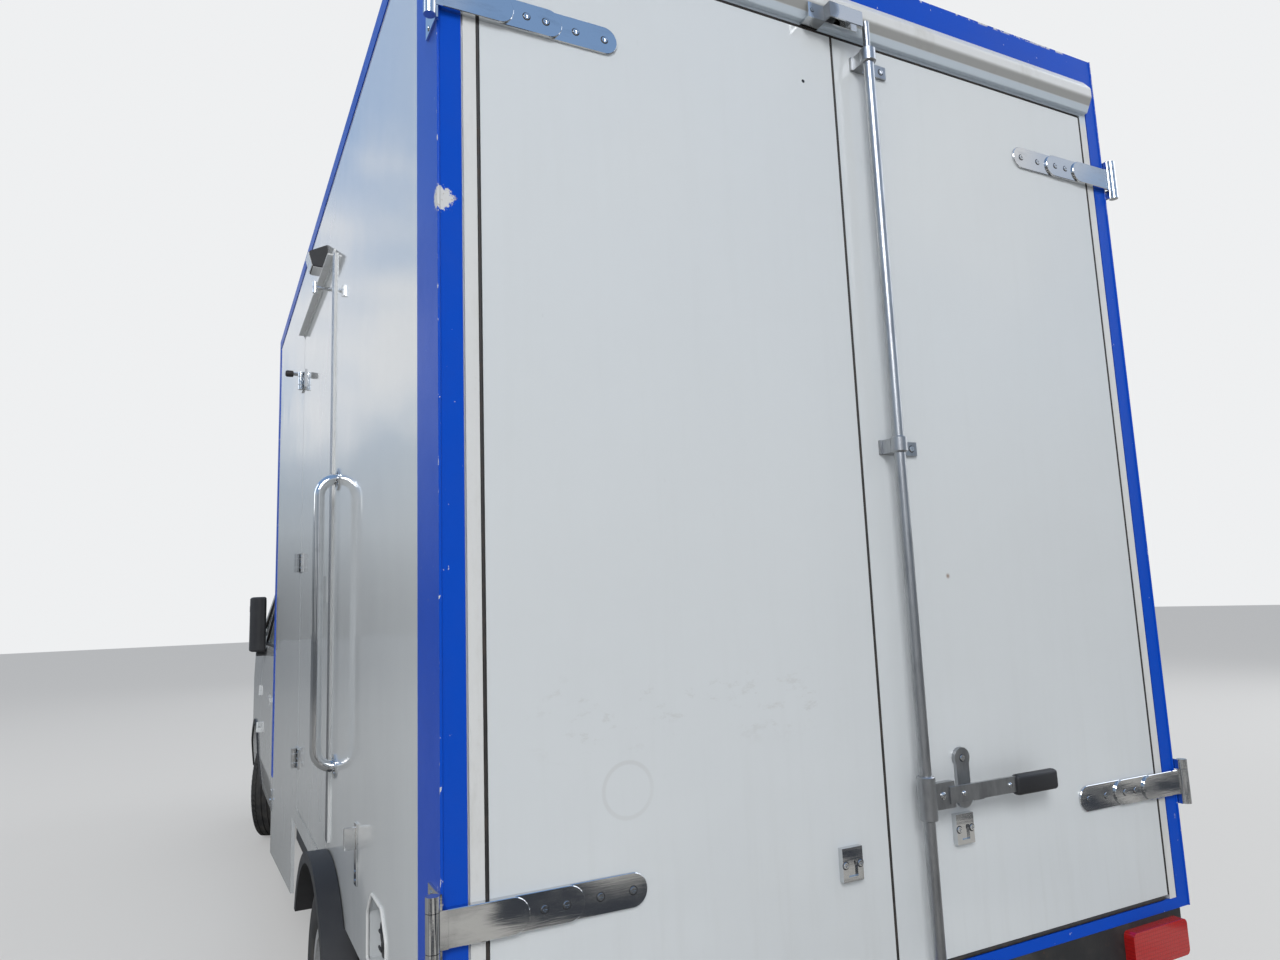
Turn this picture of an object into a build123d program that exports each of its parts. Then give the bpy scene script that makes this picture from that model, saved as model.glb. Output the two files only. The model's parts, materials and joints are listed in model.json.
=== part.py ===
from build123d import *
import math
import os

os.makedirs("parts", exist_ok=True)

# Axes: +X is forward, +Y is the left side, +Z is up. Lengths are in millimetres.
# x is measured from the rear face of the body and z from the ground. The cab is drawn
# from its own back and moved forward as it is written. At the end the whole truck is
# moved back along x, so that the origin is under its middle.

# Load body
body_w = 2040
body_l = 3830
body_z = 650
body_top = 3135
wall = 50
roof_t = 50
floor_z = 768
floor_t = 62
post_side_w = 175
post_rear_w = 46
post_t = 6
header_h = 88
rail_h = 55
jamb_w = 31
door_gap = 8
drip_h = 102
drip_out = 34

# Rear doors
door_bottom = 690
door_top = body_top - header_h - drip_h - 15
strap_w = 64
strap_low_z = 974
strap_high_z = 2740
strap_len = 396
strap_t = 5
barrel_r = 12.5
barrel_off = 17
lock_y = -64
lock_r = 13.5
lock_stand = 48
guide_zs = (1866, 2869)

# Side door
side_aft = 1535
side_fore = 2450
side_bottom = 725
side_top = 2745
side_hinge_zs = (930, 1745, 2555)

# Grab handle
grab_x = 1340
grab_low_z = 1053
grab_high_z = 1950
grab_r = 17
grab_stand = 58
grab_bend = 55
grab_foot_r = 36

# Wheels and axles
rear_axle_x = 1410
tyre_r = 350
tyre_w = 196
rim_r = 203
rim_hole_r = 19
rim_hole_at = 146
axle_z = 350
front_track = 1732
twin_track = 1672
twin_gap = 235
kingpin_y = 800
parked_steer = -19
stub_r = 30
run_gap = 0.3
arch_r = 425
flare_r = 435
flare_out = 66

# Chassis frame
rail_y = 430
rail_w = 60
rail_z = 470
rail_t = 140
rail_web = 7

# Cab
cab_w = 2040
cab_back = body_l + 42
cab_skin = 40
cab_floor_z = 626
cab_floor_t = 28
bulkhead_x = 1386
roof_z = 2110
shoulder_z = roof_z - 100
belt_z = 1345
window_top = roof_z - 205
axle_in_cab = 1492
front_over = 1023
nose_in_cab = axle_in_cab + front_over
front_axle_x = cab_back + axle_in_cab
nose_x = cab_back + nose_in_cab
cab_gap = 7

half_body = body_w / 2
half_cab = cab_w / 2

pieces = {}


def block(x0, x1, y0, y1, z0, z1):
    """A box from its six faces."""
    size = Box(x1 - x0, y1 - y0, z1 - z0)
    return Pos((x0 + x1) / 2, (y0 + y1) / 2, (z0 + z1) / 2) * size


def rod(start, end, radius):
    """A round bar between two points."""
    line = Vector(*end) - Vector(*start)
    plane = Plane(origin=Vector(*start), z_dir=line)
    return extrude(plane * Circle(radius), amount=line.length)


def outline(points, radii=None):
    """A closed face in the XY plane, with rounded corners where radii are given."""
    flat = [(a, b) for a, b in points]
    if radii is None:
        return make_face(Polyline(*flat, close=True))
    return make_face(FilletPolyline(*flat, radius=radii, close=True))


def along_y(face, y0, y1):
    """A face drawn in (x, z) pushed from y0 to y1."""
    plane = Plane(origin=(0, y0, 0), x_dir=(1, 0, 0), z_dir=(0, -1, 0))
    return extrude(plane * face, amount=y1 - y0, dir=(0, 1, 0))


def along_x(face, x0, x1):
    """A face drawn in (y, z) pushed from x0 to x1."""
    plane = Plane(origin=(x0, 0, 0), x_dir=(0, 1, 0), z_dir=(1, 0, 0))
    return extrude(plane * face, amount=x1 - x0, dir=(1, 0, 0))


def along_z(face, z0, z1):
    """A face drawn in (x, y) pushed from z0 to z1."""
    return extrude(Pos(0, 0, z0) * face, amount=z1 - z0, dir=(0, 0, 1))


def other_side(shape):
    """The same piece on the truck's other side."""
    return mirror(shape, about=Plane.XZ)


def both(shape):
    return Compound(children=list(shape.solids()) + list(other_side(shape).solids()))


def spun(profile, centre, turn=0):
    """A profile drawn in (across, radius) turned about a wheel's axis along Y."""
    ring = revolve(Plane.XY * profile, axis=Axis.X, revolution_arc=360)
    return Pos(*centre) * Rot(0, 0, 90 + turn) * ring


def group(*shapes):
    return Compound(children=[solid for shape in shapes for solid in shape.solids()])


def write(name, shape, ahead=0):
    """Keeps a finished piece, moved forward, until the truck's middle is known."""
    pieces[name] = [Pos(ahead, 0, 0) * solid for solid in shape.solids()]


# Load body walls, floor and roof

inner_y = half_body - wall
arch_top = axle_z + flare_r


def wheel_cut(x, radius, y0, y1):
    """The round cut over a wheel, open at the bottom."""
    return along_y(round_face(x, axle_z, radius), y0, y1)


def round_face(a, b, radius):
    return Pos(a, b) * Circle(radius)


def side_wall():
    """A side panel between the end posts, with the wheel arch cut away."""
    panel = block(post_t, body_l - post_t, inner_y, half_body, body_z, body_top - rail_h)
    panel -= wheel_cut(rear_axle_x, flare_r - 20, inner_y - 10, half_body + 10)
    return panel


def side_door_gap(grow):
    return block(side_aft - grow, side_fore + grow, inner_y - 20, half_body + 20,
                 side_bottom - grow, side_top + grow)


filler_x0, filler_x1 = 500, 735
filler_z0, filler_z1 = 690, 852
filler_deep = 45


def filler_outline(grow):
    """The filler recess with its top corners cut off."""
    x0, x1 = filler_x0 - grow, filler_x1 + grow
    z0, z1 = filler_z0 - grow, filler_z1 + grow
    cut = 55
    return outline([(x0, z0), (x1, z0), (x1, z1 - cut), (x1 - cut, z1), (x0 + cut, z1), (x0, z1 - cut)])


left_wall = side_wall() - side_door_gap(door_gap)
left_wall -= along_y(filler_outline(0), half_body - filler_deep, half_body + 5)
right_wall = other_side(side_wall())
front_wall = block(body_l - wall, body_l, -inner_y + 0.3, inner_y - 0.3, body_z, body_top - rail_h)
roof_panel = block(post_t, body_l - post_t, -half_body + 30, half_body - 30, body_top - roof_t, body_top - 4)

floor = block(wall, body_l - wall - 0.3, -inner_y + 0.3, inner_y - 0.3, floor_z, floor_z + floor_t)
bearer_step = 430
bearers = []
bearer_xs = [90 + i * bearer_step for i in range(9)]
for bearer_x in bearer_xs:
    over_wheel = abs(bearer_x - rear_axle_x) < flare_r + 50
    bearer_y = 560 if over_wheel else inner_y - 40
    bearers.append(block(bearer_x, bearer_x + 45, -bearer_y, bearer_y, rail_z + rail_t + 0.3, floor_z))
write("load_floor", group(floor, *bearers))
write("left_wall", left_wall)
write("right_wall", right_wall)
write("front_wall", front_wall)
write("roof_panel", roof_panel)

# Blue corner posts and rails


def rear_post():
    """An angle at the left rear corner with a rounded ridge."""
    side = block(0, post_side_w, half_body, half_body + 3, body_z, body_top)
    rear = block(0, post_t, half_body - post_rear_w, half_body, body_z, body_top)
    ridge = rod((0, half_body, body_z), (0, half_body, body_top), post_t / 2)
    return side + rear + ridge


post = rear_post()
header = block(0, post_t, -half_body + post_rear_w, half_body - post_rear_w, body_top - header_h, body_top)
sill = block(0, post_t, -half_body + post_rear_w, half_body - post_rear_w, body_z, door_bottom - 12)
write("rear_frame", post + other_side(post) + header + sill)

rail = block(post_side_w + 0.3, body_l - 60, half_body, half_body + 3, body_top - rail_h, body_top)
rail += block(post_t, body_l - 6, half_body - 30, half_body, body_top - 4, body_top)
front_post = block(body_l - 60, body_l, half_body, half_body + 3, body_z, body_top)
front_post += block(body_l, body_l + 3, half_body - 60, half_body + 3, body_z, body_top)
side_trim = rail + front_post
top_trim = block(body_l, body_l + 3, -half_body + 60, half_body - 60, body_top - 40, body_top)
write("edge_rails", side_trim + other_side(side_trim) + top_trim)

# White jambs, drip rails and seals

leaf_edge = half_body - post_rear_w - jamb_w
jamb_d = 38
jamb_top = door_top + door_gap
jamb = block(0, jamb_d, leaf_edge, half_body - post_rear_w - 0.3, door_bottom - 12, jamb_top)
jamb -= block(-1, jamb_d + 1, inner_y - 0.3, half_body, body_z, body_top)
top_jamb = block(0, jamb_d, -inner_y + 0.3, inner_y - 0.3, jamb_top, body_top - header_h - 0.3)
rear_drip = along_y(outline([(0, 0), (-14, 0), (-drip_out, 40), (-drip_out, 70), (-12, drip_h), (0, drip_h)],
                            [1, 4, 18, 20, 3, 1]), -leaf_edge - 20, leaf_edge + 20)
rear_drip = Pos(0, 0, body_top - header_h - drip_h - 0.6) * rear_drip
side_drip = block(side_aft - 40, side_fore + 30, half_body, half_body + 24, side_top + 26, side_top + 32)
side_drip += block(side_aft - 40, side_fore + 30, half_body, half_body + 3, side_top + 20, side_top + 52)
strip = block(side_aft - 92, side_aft - 42, half_body, half_body + 6, arch_top + 20, side_top + 18)
write("door_trim", group(jamb + other_side(jamb) + top_jamb + rear_drip, side_drip, strip))

# Strap hinges of the rear doors, with the lock on the right-hand one

pivot_x = -15
pivot_y = half_body + barrel_off + 3


def strap(z):
    """One layered strap on a left rear door, from its barrel to its round tip."""
    layers = []
    for reach, out in ((155, 3), (264, 2), (strap_len, 1)):
        x0, x1 = -strap_t * out - 0.3, -0.3
        end = half_body - reach + strap_w / 2
        bar = block(x0, x1, end, half_body - 6, z - strap_w / 2, z + strap_w / 2)
        nose = Pos((x0 + x1) / 2, end, z) * Rot(0, 90, 0) * Cylinder(strap_w / 2, x1 - x0)
        layer = bar + nose
        layers.append(chamfer(layer.faces().sort_by(Axis.X)[0].edges(), 1.2))
    leaf = layers[0] + layers[1] + layers[2]
    leaf += block(-strap_t * 3 - 0.3, -strap_t * 2 - 0.3, half_body - 7, pivot_y,
                  z - strap_w / 2, z + strap_w / 2)
    knuckle = Pos(pivot_x, pivot_y, z) * Cylinder(barrel_r, strap_w)
    return leaf + knuckle


def side_leaf(z):
    """The half of a strap hinge that is fixed to the post, with two short knuckles."""
    plate = block(post_t, 70, half_body + 3.3, half_body + 8, z - strap_w / 2 - 26, z + strap_w / 2 + 26)
    for end in (-1, 1):
        mid = z + end * (strap_w / 2 + 14)
        plate += Pos(pivot_x, pivot_y, mid) * Cylinder(barrel_r, 26)
        plate += block(pivot_x, post_t + 1, half_body + 8 - 4.7, half_body + 8, mid - 13, mid + 13)
    return plate


straps = group(*[strap(z) for z in (strap_low_z, strap_high_z)])
retainer = block(-14, -0.3, 103, 158, 905, 975) - block(-20, -9, 118, 143, 915, 950)
write("left_door_hinges", group(straps, retainer))

door_thick = 45


def rear_door(y0, y1):
    """A flat insulated leaf from its hinge edge to the middle."""
    return block(0, door_thick, y0, y1, door_bottom, door_top)


seam_y = 12
left_door = rear_door(seam_y + 4, leaf_edge - door_gap)
right_door = rear_door(-leaf_edge + door_gap, seam_y - 4)
write("rear_door_left", left_door)
write("rear_door_right", right_door)

lock_x = -lock_stand
bar_low = 720
bar_top = 2961
lock_pin_r = 9
bar = rod((lock_x, lock_y, bar_low), (lock_x, lock_y, guide_zs[1]), lock_r)
bar += rod((lock_x, lock_y, guide_zs[1]), (lock_x, lock_y, bar_top), lock_pin_r)
for z in guide_zs:
    collar = Cylinder(lock_r + 6, 38)
    bar += Pos(lock_x, lock_y, z) * chamfer(collar.edges().filter_by(GeomType.CIRCLE), 3)
    bar += block(lock_x, -0.3, lock_y - 14, lock_y + 14, z - 17, z + 17)
    bar += block(-8, -0.3, lock_y - 95, lock_y + 20, z - 17, z + 17)
sleeve = Cylinder(lock_r + 7, 96)
bar += Pos(lock_x, lock_y, 1058) * chamfer(sleeve.edges().filter_by(GeomType.CIRCLE), 2)
hub = block(lock_x - 8, lock_x + 8, lock_y - 78, lock_y, 1030, 1088)
lever = block(lock_x - 12, lock_x - 4, lock_y - 300, lock_y - 60, 1040, 1076)
grip = fillet(block(lock_x - 20, lock_x + 4, lock_y - 410, lock_y - 270, 1032, 1078).edges(), 9)
catch = block(-10, -0.3, -240, -200, 1034, 1124) + block(lock_x - 4, -5, -236, -204, 1036, 1052)
for z in (1034, 1124):
    catch += Pos(-5.15, -220, z) * Rot(0, 90, 0) * Cylinder(24, 9.7)
right_straps = other_side(straps)
right_retainer = block(-14, -0.3, -235, -180, 932, 1000) - block(-20, -9, -220, -195, 942, 975)
write("right_door_hinges", group(right_straps, right_retainer))
write("lock_bar", group(bar + hub + lever + grip, catch))

static_leaves = group(*[side_leaf(z) for z in (strap_low_z, strap_high_z)])
keeper_z = door_top + 7
keeper_y = lock_y + lock_r + 7
keeper = block(lock_x - 14, -drip_out - 0.3, keeper_y, keeper_y + 104, keeper_z, keeper_z + 40)
keeper -= block(lock_x - 10, -drip_out - 4.3, keeper_y - 1, keeper_y + 100, keeper_z - 1, keeper_z + 36)
keeper += block(-drip_out - 4.3, -drip_out - 0.3, keeper_y + 100, keeper_y + 152, keeper_z, keeper_z + 40)
keeper += block(-drip_out - 4.3, -0.3, keeper_y + 100, keeper_y + 152, keeper_z, keeper_z + 7)

# Side door with its hinges and latch

side_door = block(side_aft, side_fore, inner_y, half_body, side_bottom, side_top)
write("side_door", side_door)

side_pivot_x = side_fore + door_gap / 2
side_pivot_y = half_body + 16


def side_hinge_moving(z):
    plate = block(side_fore - 62, side_fore - 4, half_body + 0.3, half_body + 6, z - 40, z + 40)
    plate += block(side_fore - 8, side_pivot_x, half_body + 1.3, half_body + 6, z - 18, z + 18)
    return plate + Pos(side_pivot_x, side_pivot_y, z) * Cylinder(11, 34)


def side_hinge_fixed(z):
    plate = block(side_fore + 12, side_fore + 68, half_body + 0.3, half_body + 6, z - 40, z + 40)
    for end in (-1, 1):
        mid = z + end * 30
        plate += Pos(side_pivot_x, side_pivot_y, mid) * Cylinder(11, 20)
        plate += block(side_pivot_x, side_fore + 16, half_body + 1.3, half_body + 6, mid - 10, mid + 10)
    return plate


latch_x = side_aft + 101
latch_z = 1560
latch = block(latch_x - 22, latch_x + 22, half_body + 0.3, half_body + 14, latch_z, latch_z + 90)
latch += block(latch_x - 12, latch_x + 12, half_body + 14, half_body + 26, latch_z + 10, latch_z + 65)
peg_x = side_aft + 70
peg_z = side_top - 60
peg = rod((peg_x, half_body + 0.3, peg_z), (peg_x, half_body + 60, peg_z), 7)
peg += rod((peg_x, half_body + 52, peg_z - 20), (peg_x, half_body + 52, peg_z + 20), 9)
side_moving = group(*[side_hinge_moving(z) for z in side_hinge_zs], latch, peg)
write("side_door_hinges", side_moving)

buffer_x = side_fore + 117
buffer_z = side_top - 131
buffer_stem = rod((buffer_x, half_body + 0.3, buffer_z), (buffer_x, half_body + 40, buffer_z), 8)
catch_x = 905
catch_z = body_z + 165
holdback = block(catch_x - 18, catch_x + 18, half_body + 0.3, half_body + 5, catch_z, catch_z + 155)
holdback += block(catch_x - 7, catch_x + 7, half_body + 5, half_body + 34, catch_z + 90, catch_z + 145)
fittings = group(static_leaves, other_side(static_leaves), keeper,
                 *[side_hinge_fixed(z) for z in side_hinge_zs], buffer_stem, holdback, other_side(holdback))
write("door_fittings", fittings)

# Grab handle: one bent tube on two wall feet

grab_y = half_body + grab_stand
path = FilletPolyline((grab_x, half_body + 0.3, grab_high_z), (grab_x, grab_y, grab_high_z),
                      (grab_x, grab_y, grab_low_z), (grab_x, half_body + 0.3, grab_low_z), radius=grab_bend)
tube = sweep(Plane(origin=path @ 0, z_dir=path % 0) * Circle(grab_r), path=path)
feet = [rod((grab_x, half_body + 0.3, z), (grab_x, half_body + 5, z), grab_foot_r)
        for z in (grab_low_z, grab_high_z)]
write("grab_handle", tube + feet[0] + feet[1])

# Chassis frame, springs and axles

frame_front = nose_x - 330
web_y = rail_y + rail_w / 2 - rail_web
rails = block(40, frame_front, rail_y - rail_w / 2, rail_y + rail_w / 2, rail_z, rail_z + rail_t)
rails -= block(39, frame_front + 1, rail_y - rail_w / 2 - 1, web_y,
               rail_z + rail_web, rail_z + rail_t - rail_web)
cross_w = 60
cross_xs = (60, 800, 1950, 2700, 3500, cab_back + 428, nose_x - 400)
crosses = [block(x, x + cross_w, -web_y, web_y, rail_z + 20, rail_z + rail_t - 20) for x in cross_xs]
tow_holes = {"across": 120, "up": 60, "r": 6.5}
for y in (-1, 1):
    for z in (-1, 1):
        hole = (y * tow_holes["across"] / 2, rail_z + rail_t / 2 + z * tow_holes["up"] / 2)
        crosses[0] -= rod((cross_xs[0] - 10, *hole), (cross_xs[0] + 70, *hole), tow_holes["r"])
write("frame_rails", group(rails, other_side(rails), *crosses))

spring_y = rail_y + rail_w / 2 + 42
axle_tube_r = 42
seat_z = axle_z + axle_tube_r + run_gap
leaf_t = 14
leaf_curve_r = 3200
leaf_reach = 620
curve_z = seat_z + 4 + leaf_curve_r
spring = block(rear_axle_x - 62, rear_axle_x + 62, spring_y - 38, spring_y + 38, seat_z, seat_z + 8)
for level in range(3):
    half = leaf_reach - (2 - level) * 150
    outer = leaf_curve_r - level * leaf_t
    band = along_y(round_face(rear_axle_x, curve_z, outer) - round_face(rear_axle_x, curve_z, outer - leaf_t),
                   spring_y - 32, spring_y + 32)
    spring += band & block(rear_axle_x - half, rear_axle_x + half, spring_y - 33, spring_y + 33,
                           seat_z, seat_z + 200)
main_leaf_r = leaf_curve_r - 2.5 * leaf_t
eye_z = curve_z - math.sqrt(main_leaf_r ** 2 - leaf_reach ** 2)
web_out = rail_y + rail_w / 2 + run_gap
for end in (-1, 1):
    eye_x = rear_axle_x + end * leaf_reach
    spring += Pos(eye_x, spring_y, eye_z) * Rot(90, 0, 0) * Cylinder(26, 64)
    spring += block(eye_x - 25, eye_x + 25, web_out, spring_y - 30, eye_z - 30, eye_z + 60)
    for y in (spring_y - 36, spring_y + 36):
        spring += rod((rear_axle_x + end * 54, y, axle_z - 70), (rear_axle_x + end * 54, y, seat_z + 70), 7)
under_axle = axle_z - axle_tube_r - run_gap
spring += block(rear_axle_x - 72, rear_axle_x + 72, spring_y - 45, spring_y + 45, under_axle - 12, under_axle)
damper_y = spring_y + 72
damper_low = (rear_axle_x - 80, damper_y, under_axle - 6)
damper_high = (rear_axle_x - 250, damper_y, rail_z + 112)
damper_mid = tuple((low + high) / 2 for low, high in zip(damper_low, damper_high))
damper = rod(damper_low, damper_mid, 20) + rod(damper_mid, damper_high, 24)
damper += block(rear_axle_x - 100, rear_axle_x - 60, spring_y + 20, damper_y + 8, under_axle - 12, under_axle)
damper += block(damper_high[0] - 18, damper_high[0] + 18, web_out, damper_y + 8, rail_z + 98, rail_z + 126)
spring += damper
write("leaf_springs", both(spring))

stub_end = twin_track / 2 + 60
axle = rod((rear_axle_x, -stub_end, axle_z), (rear_axle_x, stub_end, axle_z), stub_r)
axle += rod((rear_axle_x, -600, axle_z), (rear_axle_x, 600, axle_z), axle_tube_r)
axle += Pos(rear_axle_x, 0, axle_z) * Sphere(135)
axle += rod((rear_axle_x, 0, axle_z), (front_axle_x - 300, 0, axle_z + 60), 38)
write("rear_axle", axle)

hub_y = front_track / 2
lower_z = axle_z - 121
upper_z = axle_z + 151


def knuckle():
    """The left upright with its kingpin and the stub that the wheel turns on."""
    pin = rod((0, 0, lower_z + 0.3), (0, 0, upper_z - 0.3), 24)
    stub = rod((0, 0, axle_z), (0, hub_y - kingpin_y + 75, axle_z), stub_r)
    flange = rod((0, -30, axle_z), (0, 12, axle_z), 62)
    return pin + stub + flange


def steered(shape, side):
    """Puts a left front piece on its kingpin, turned as the truck is parked."""
    piece = shape if side > 0 else other_side(shape)
    return Pos(front_axle_x, side * kingpin_y, 0) * Rot(0, 0, parked_steer) * piece


front_arm = block(front_axle_x - 22, front_axle_x + 22, 330, kingpin_y + 12, lower_z - 27, lower_z)
strut = rod((front_axle_x, 648, upper_z), (front_axle_x, 648, axle_z + arch_r - 1), 42)
strut += block(front_axle_x - 22, front_axle_x + 22, 600, kingpin_y + 10, upper_z, upper_z + 19)
cradle = block(front_axle_x - 260, front_axle_x + 260, -340, 340, axle_z - 150, axle_z - 80)
suspension = cradle + front_arm + other_side(front_arm)
write("front_suspension", group(suspension, strut, other_side(strut)))

# Tyres and steel rims


def tyre_profile():
    half = tyre_w / 2
    points = [(-half + 24, rim_r), (-half, tyre_r - 90), (-half + 3, tyre_r - 45), (-half + 20, tyre_r),
              (half - 20, tyre_r), (half - 3, tyre_r - 45), (half, tyre_r - 90), (half - 24, rim_r)]
    return outline(points, [2, 60, 40, 16, 16, 40, 60, 2])


def rim_profile(dish):
    """Half section of a rim: a thin barrel, then a disc that stands out by dish."""
    half = tyre_w / 2 - 10
    barrel = outline([(-half, rim_r - 18), (half, rim_r - 18), (half, rim_r + 8), (half - 8, rim_r + 8),
                      (half - 8, rim_r - 0.3), (-half + 8, rim_r - 0.3), (-half + 8, rim_r + 8),
                      (-half, rim_r + 8)])
    disc = outline([(dish - 60, rim_r - 17), (dish - 8, 118), (dish - 8, stub_r + run_gap),
                    (dish + 4, stub_r + run_gap), (dish + 4, 122),
                    (dish - 44, rim_r - 17)])
    return barrel, disc


def rim(centre, dish, turn=0):
    barrel, disc = rim_profile(dish)
    ring = spun(barrel, centre, turn) + spun(disc, centre, turn)
    for i in range(8):
        a = math.radians(i * 45)
        at = (rim_hole_at * math.cos(a), rim_hole_at * math.sin(a))
        hole = rod((-tyre_w, *at), (tyre_w, *at), rim_hole_r)
        ring -= Pos(*centre) * Rot(0, 0, 90 + turn) * hole
    return ring


front_centre = (0, hub_y - kingpin_y, axle_z)
front_tyre = spun(tyre_profile(), front_centre)
front_rim = rim(front_centre, 62)
twin = twin_gap / 2
rear_tyres = [spun(tyre_profile(), (rear_axle_x, twin_track / 2 + s * twin, axle_z)) for s in (-1, 1)]
inner_rim = rim((rear_axle_x, twin_track / 2 - twin, axle_z), twin - 4)
outer_rim = rim((rear_axle_x, -twin_track / 2 - twin, axle_z), twin - 4)
outer_rim = Pos(rear_axle_x, 0, 0) * Rot(0, 0, 180) * Pos(-rear_axle_x, 0, 0) * outer_rim
for side, name in ((1, "left"), (-1, "right")):
    write(f"knuckle_{name}", steered(knuckle(), side))
    write(f"front_tyre_{name}", steered(front_tyre, side))
    write(f"front_rim_{name}", steered(front_rim, side))
    twin_tyres = group(*rear_tyres)
    twin_rims = inner_rim + outer_rim
    write(f"rear_tyres_{name}", twin_tyres if side > 0 else other_side(twin_tyres))
    write(f"rear_rims_{name}", twin_rims if side > 0 else other_side(twin_rims))


# Cab: one outer form cut into its panels

side_view = [(0, 400), (0, roof_z), (828, roof_z), (1728, 1400), (2288, 1195), (2463, 1060),
             (nose_in_cab, 760), (2483, 300), (1963, 300), (1938, 400)]
side_radii = [1, 40, 170, 110, 200, 120, 200, 40, 10, 10]
front_view = [(-985, 290), (-half_cab, 620), (-half_cab, 1080), (-1000, 1340), (-848, shoulder_z),
              (-730, roof_z + 4)]
front_view += [(-y, z) for y, z in reversed(front_view)]
front_radii = [30, 300, 300, 200, 120, 160, 160, 120, 200, 300, 300, 30]
top_view = [(-5, -half_cab - 8), (1778, -half_cab - 8), (2278, -968), (2468, -790), (nose_in_cab + 4, -330)]
top_view += [(x, -y) for x, y in reversed(top_view)]
top_radii = [1, 900, 200, 160, 400, 400, 160, 200, 900, 1]


def cab_form(inset):
    """The cab's outer form from its three views, drawn in by inset on every side."""
    views = [outline(side_view, side_radii), outline(front_view, front_radii), outline(top_view, top_radii)]
    if inset:
        views = [offset(view, amount=-inset) for view in views]
    side = along_y(views[0], -half_cab - 10, half_cab + 10)
    front = along_x(views[1], -10, nose_in_cab + 10)
    return side & front & along_z(views[2], 200, roof_z + 20)


def grown(face, gap):
    return offset(face, amount=gap) if gap else face


hood_back = 1756


def hood_region(gap):
    face = outline([(hood_back, -850), (2208, -810), (2323, -600), (2343, -250), (2343, 250), (2323, 600),
                    (2208, 810), (hood_back, 850)], [20, 90, 120, 300, 300, 120, 90, 20])
    return along_z(grown(face, gap), 1090, 1600)


def door_region(gap, swing=0):
    """The door's side outline; swing draws in its upper rear corner, which turns past the pillar."""
    top = shoulder_z - 18
    face = outline([(113, 455), (1033, 455), (1033, roof_z - 275), (828, top), (113 + swing, top), (113, 1340)],
                   [50, 50, 60, 60, 40, 200])
    return along_y(grown(face, gap), 500, half_cab + 60)


def door_window(gap):
    face = outline([(183, belt_z), (963, belt_z), (963, window_top - 115), (818, window_top),
                    (183, window_top)], 45)
    return along_y(grown(face, gap), 500, half_cab + 60)


def quarter_window(gap):
    face = outline([(1108, 1400), (1523, 1415), (1108, 1735)], 22)
    return along_y(grown(face, gap), 500, half_cab + 60)


def screen_region(gap):
    face = outline([(-872, 1452), (872, 1452), (738, shoulder_z), (-738, shoulder_z)], 70)
    return along_x(grown(face, gap), 678, 1928)


def grille_region(gap):
    face = outline([(-400, 1050), (400, 1050), (548, 935), (490, 715), (-490, 715), (-548, 935)], 30)
    return along_x(grown(face, gap), 2128, nose_in_cab + 50)


def lamp_region(gap):
    face = outline([(600, 925), (820, 905), (972, 975), (992, 1120), (880, 1112), (690, 1020)], 18)
    return along_x(grown(face, gap), 2078, nose_in_cab + 50)


bumper_z = 690
bumper_x = 1953
cab_outer = cab_form(0)
cab_inner = cab_form(cab_skin)
below = block(-1, 1940, -960, 960, 200, cab_floor_z + 10)
skin = cab_outer - cab_inner - below

hood = skin & hood_region(0)
door_left = (skin & door_region(0, 14)) - door_window(0)
handle_pocket = along_y(outline([(150, 1005), (300, 1005), (300, 1080), (150, 1080)], 28), 900, half_cab + 60)
door_left -= handle_pocket & (cab_form(-5) - cab_form(16))
handle_bar = along_y(outline([(135, 1030), (318, 1030), (318, 1056), (135, 1056)], 9), 900, half_cab + 60)
door_left += handle_bar & (cab_form(-16) - cab_form(-6))
for x in (140, 304):
    foot = along_y(outline([(x, 1031), (x + 12, 1031), (x + 12, 1055), (x, 1055)]), 900, half_cab + 60)
    door_left += foot & (cab_form(-8) - cab_form(4))
glass_layer = cab_form(14) - cab_form(19)
window_left = glass_layer & door_window(-0.3)
screen = glass_layer & screen_region(-0.3)
quarter = glass_layer & quarter_window(-0.3)
lamp_layer = cab_form(3) - cab_form(60)
lamp = lamp_layer & lamp_region(-0.3)
front_zone = block(bumper_x, nose_in_cab + 20, -half_cab - 20, half_cab + 20, 200, bumper_z)
bumper = skin & front_zone
horn = block(frame_front - cab_back + run_gap, nose_in_cab, rail_y - 25, rail_y + rail_w / 2, 480, 600)
bumper += both(horn & cab_form(20))
for z0, z1, half in ((585, 620, 430), (420, 475, 430), (350, 385, 520)):
    slot = outline([(-half, z0), (half, z0), (half - 18, z1), (-half + 18, z1)], 10)
    bumper -= along_x(slot, nose_in_cab - 60, nose_in_cab + 30)
fog = along_x(outline([(690, 475), (850, 475), (830, 560), (690, 560)], 20), bumper_x + 300, nose_in_cab + 40)
bumper -= both(fog & (cab_form(-5) - cab_form(24)))

grown_zone = block(bumper_x - cab_gap, nose_in_cab + 20, -half_cab - 20, half_cab + 20, 200, bumper_z + 4)
shell = skin - hood_region(cab_gap) - both(door_region(cab_gap, 0.5))
shell -= screen_region(0) + quarter_window(0) + other_side(quarter_window(0))
shell -= grille_region(0) + lamp_region(0) + other_side(lamp_region(0))
shell -= grown_zone
arch = along_y(round_face(axle_in_cab, axle_z, arch_r), -half_cab - 20, half_cab + 20)
shell -= arch
bumper -= arch

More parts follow.
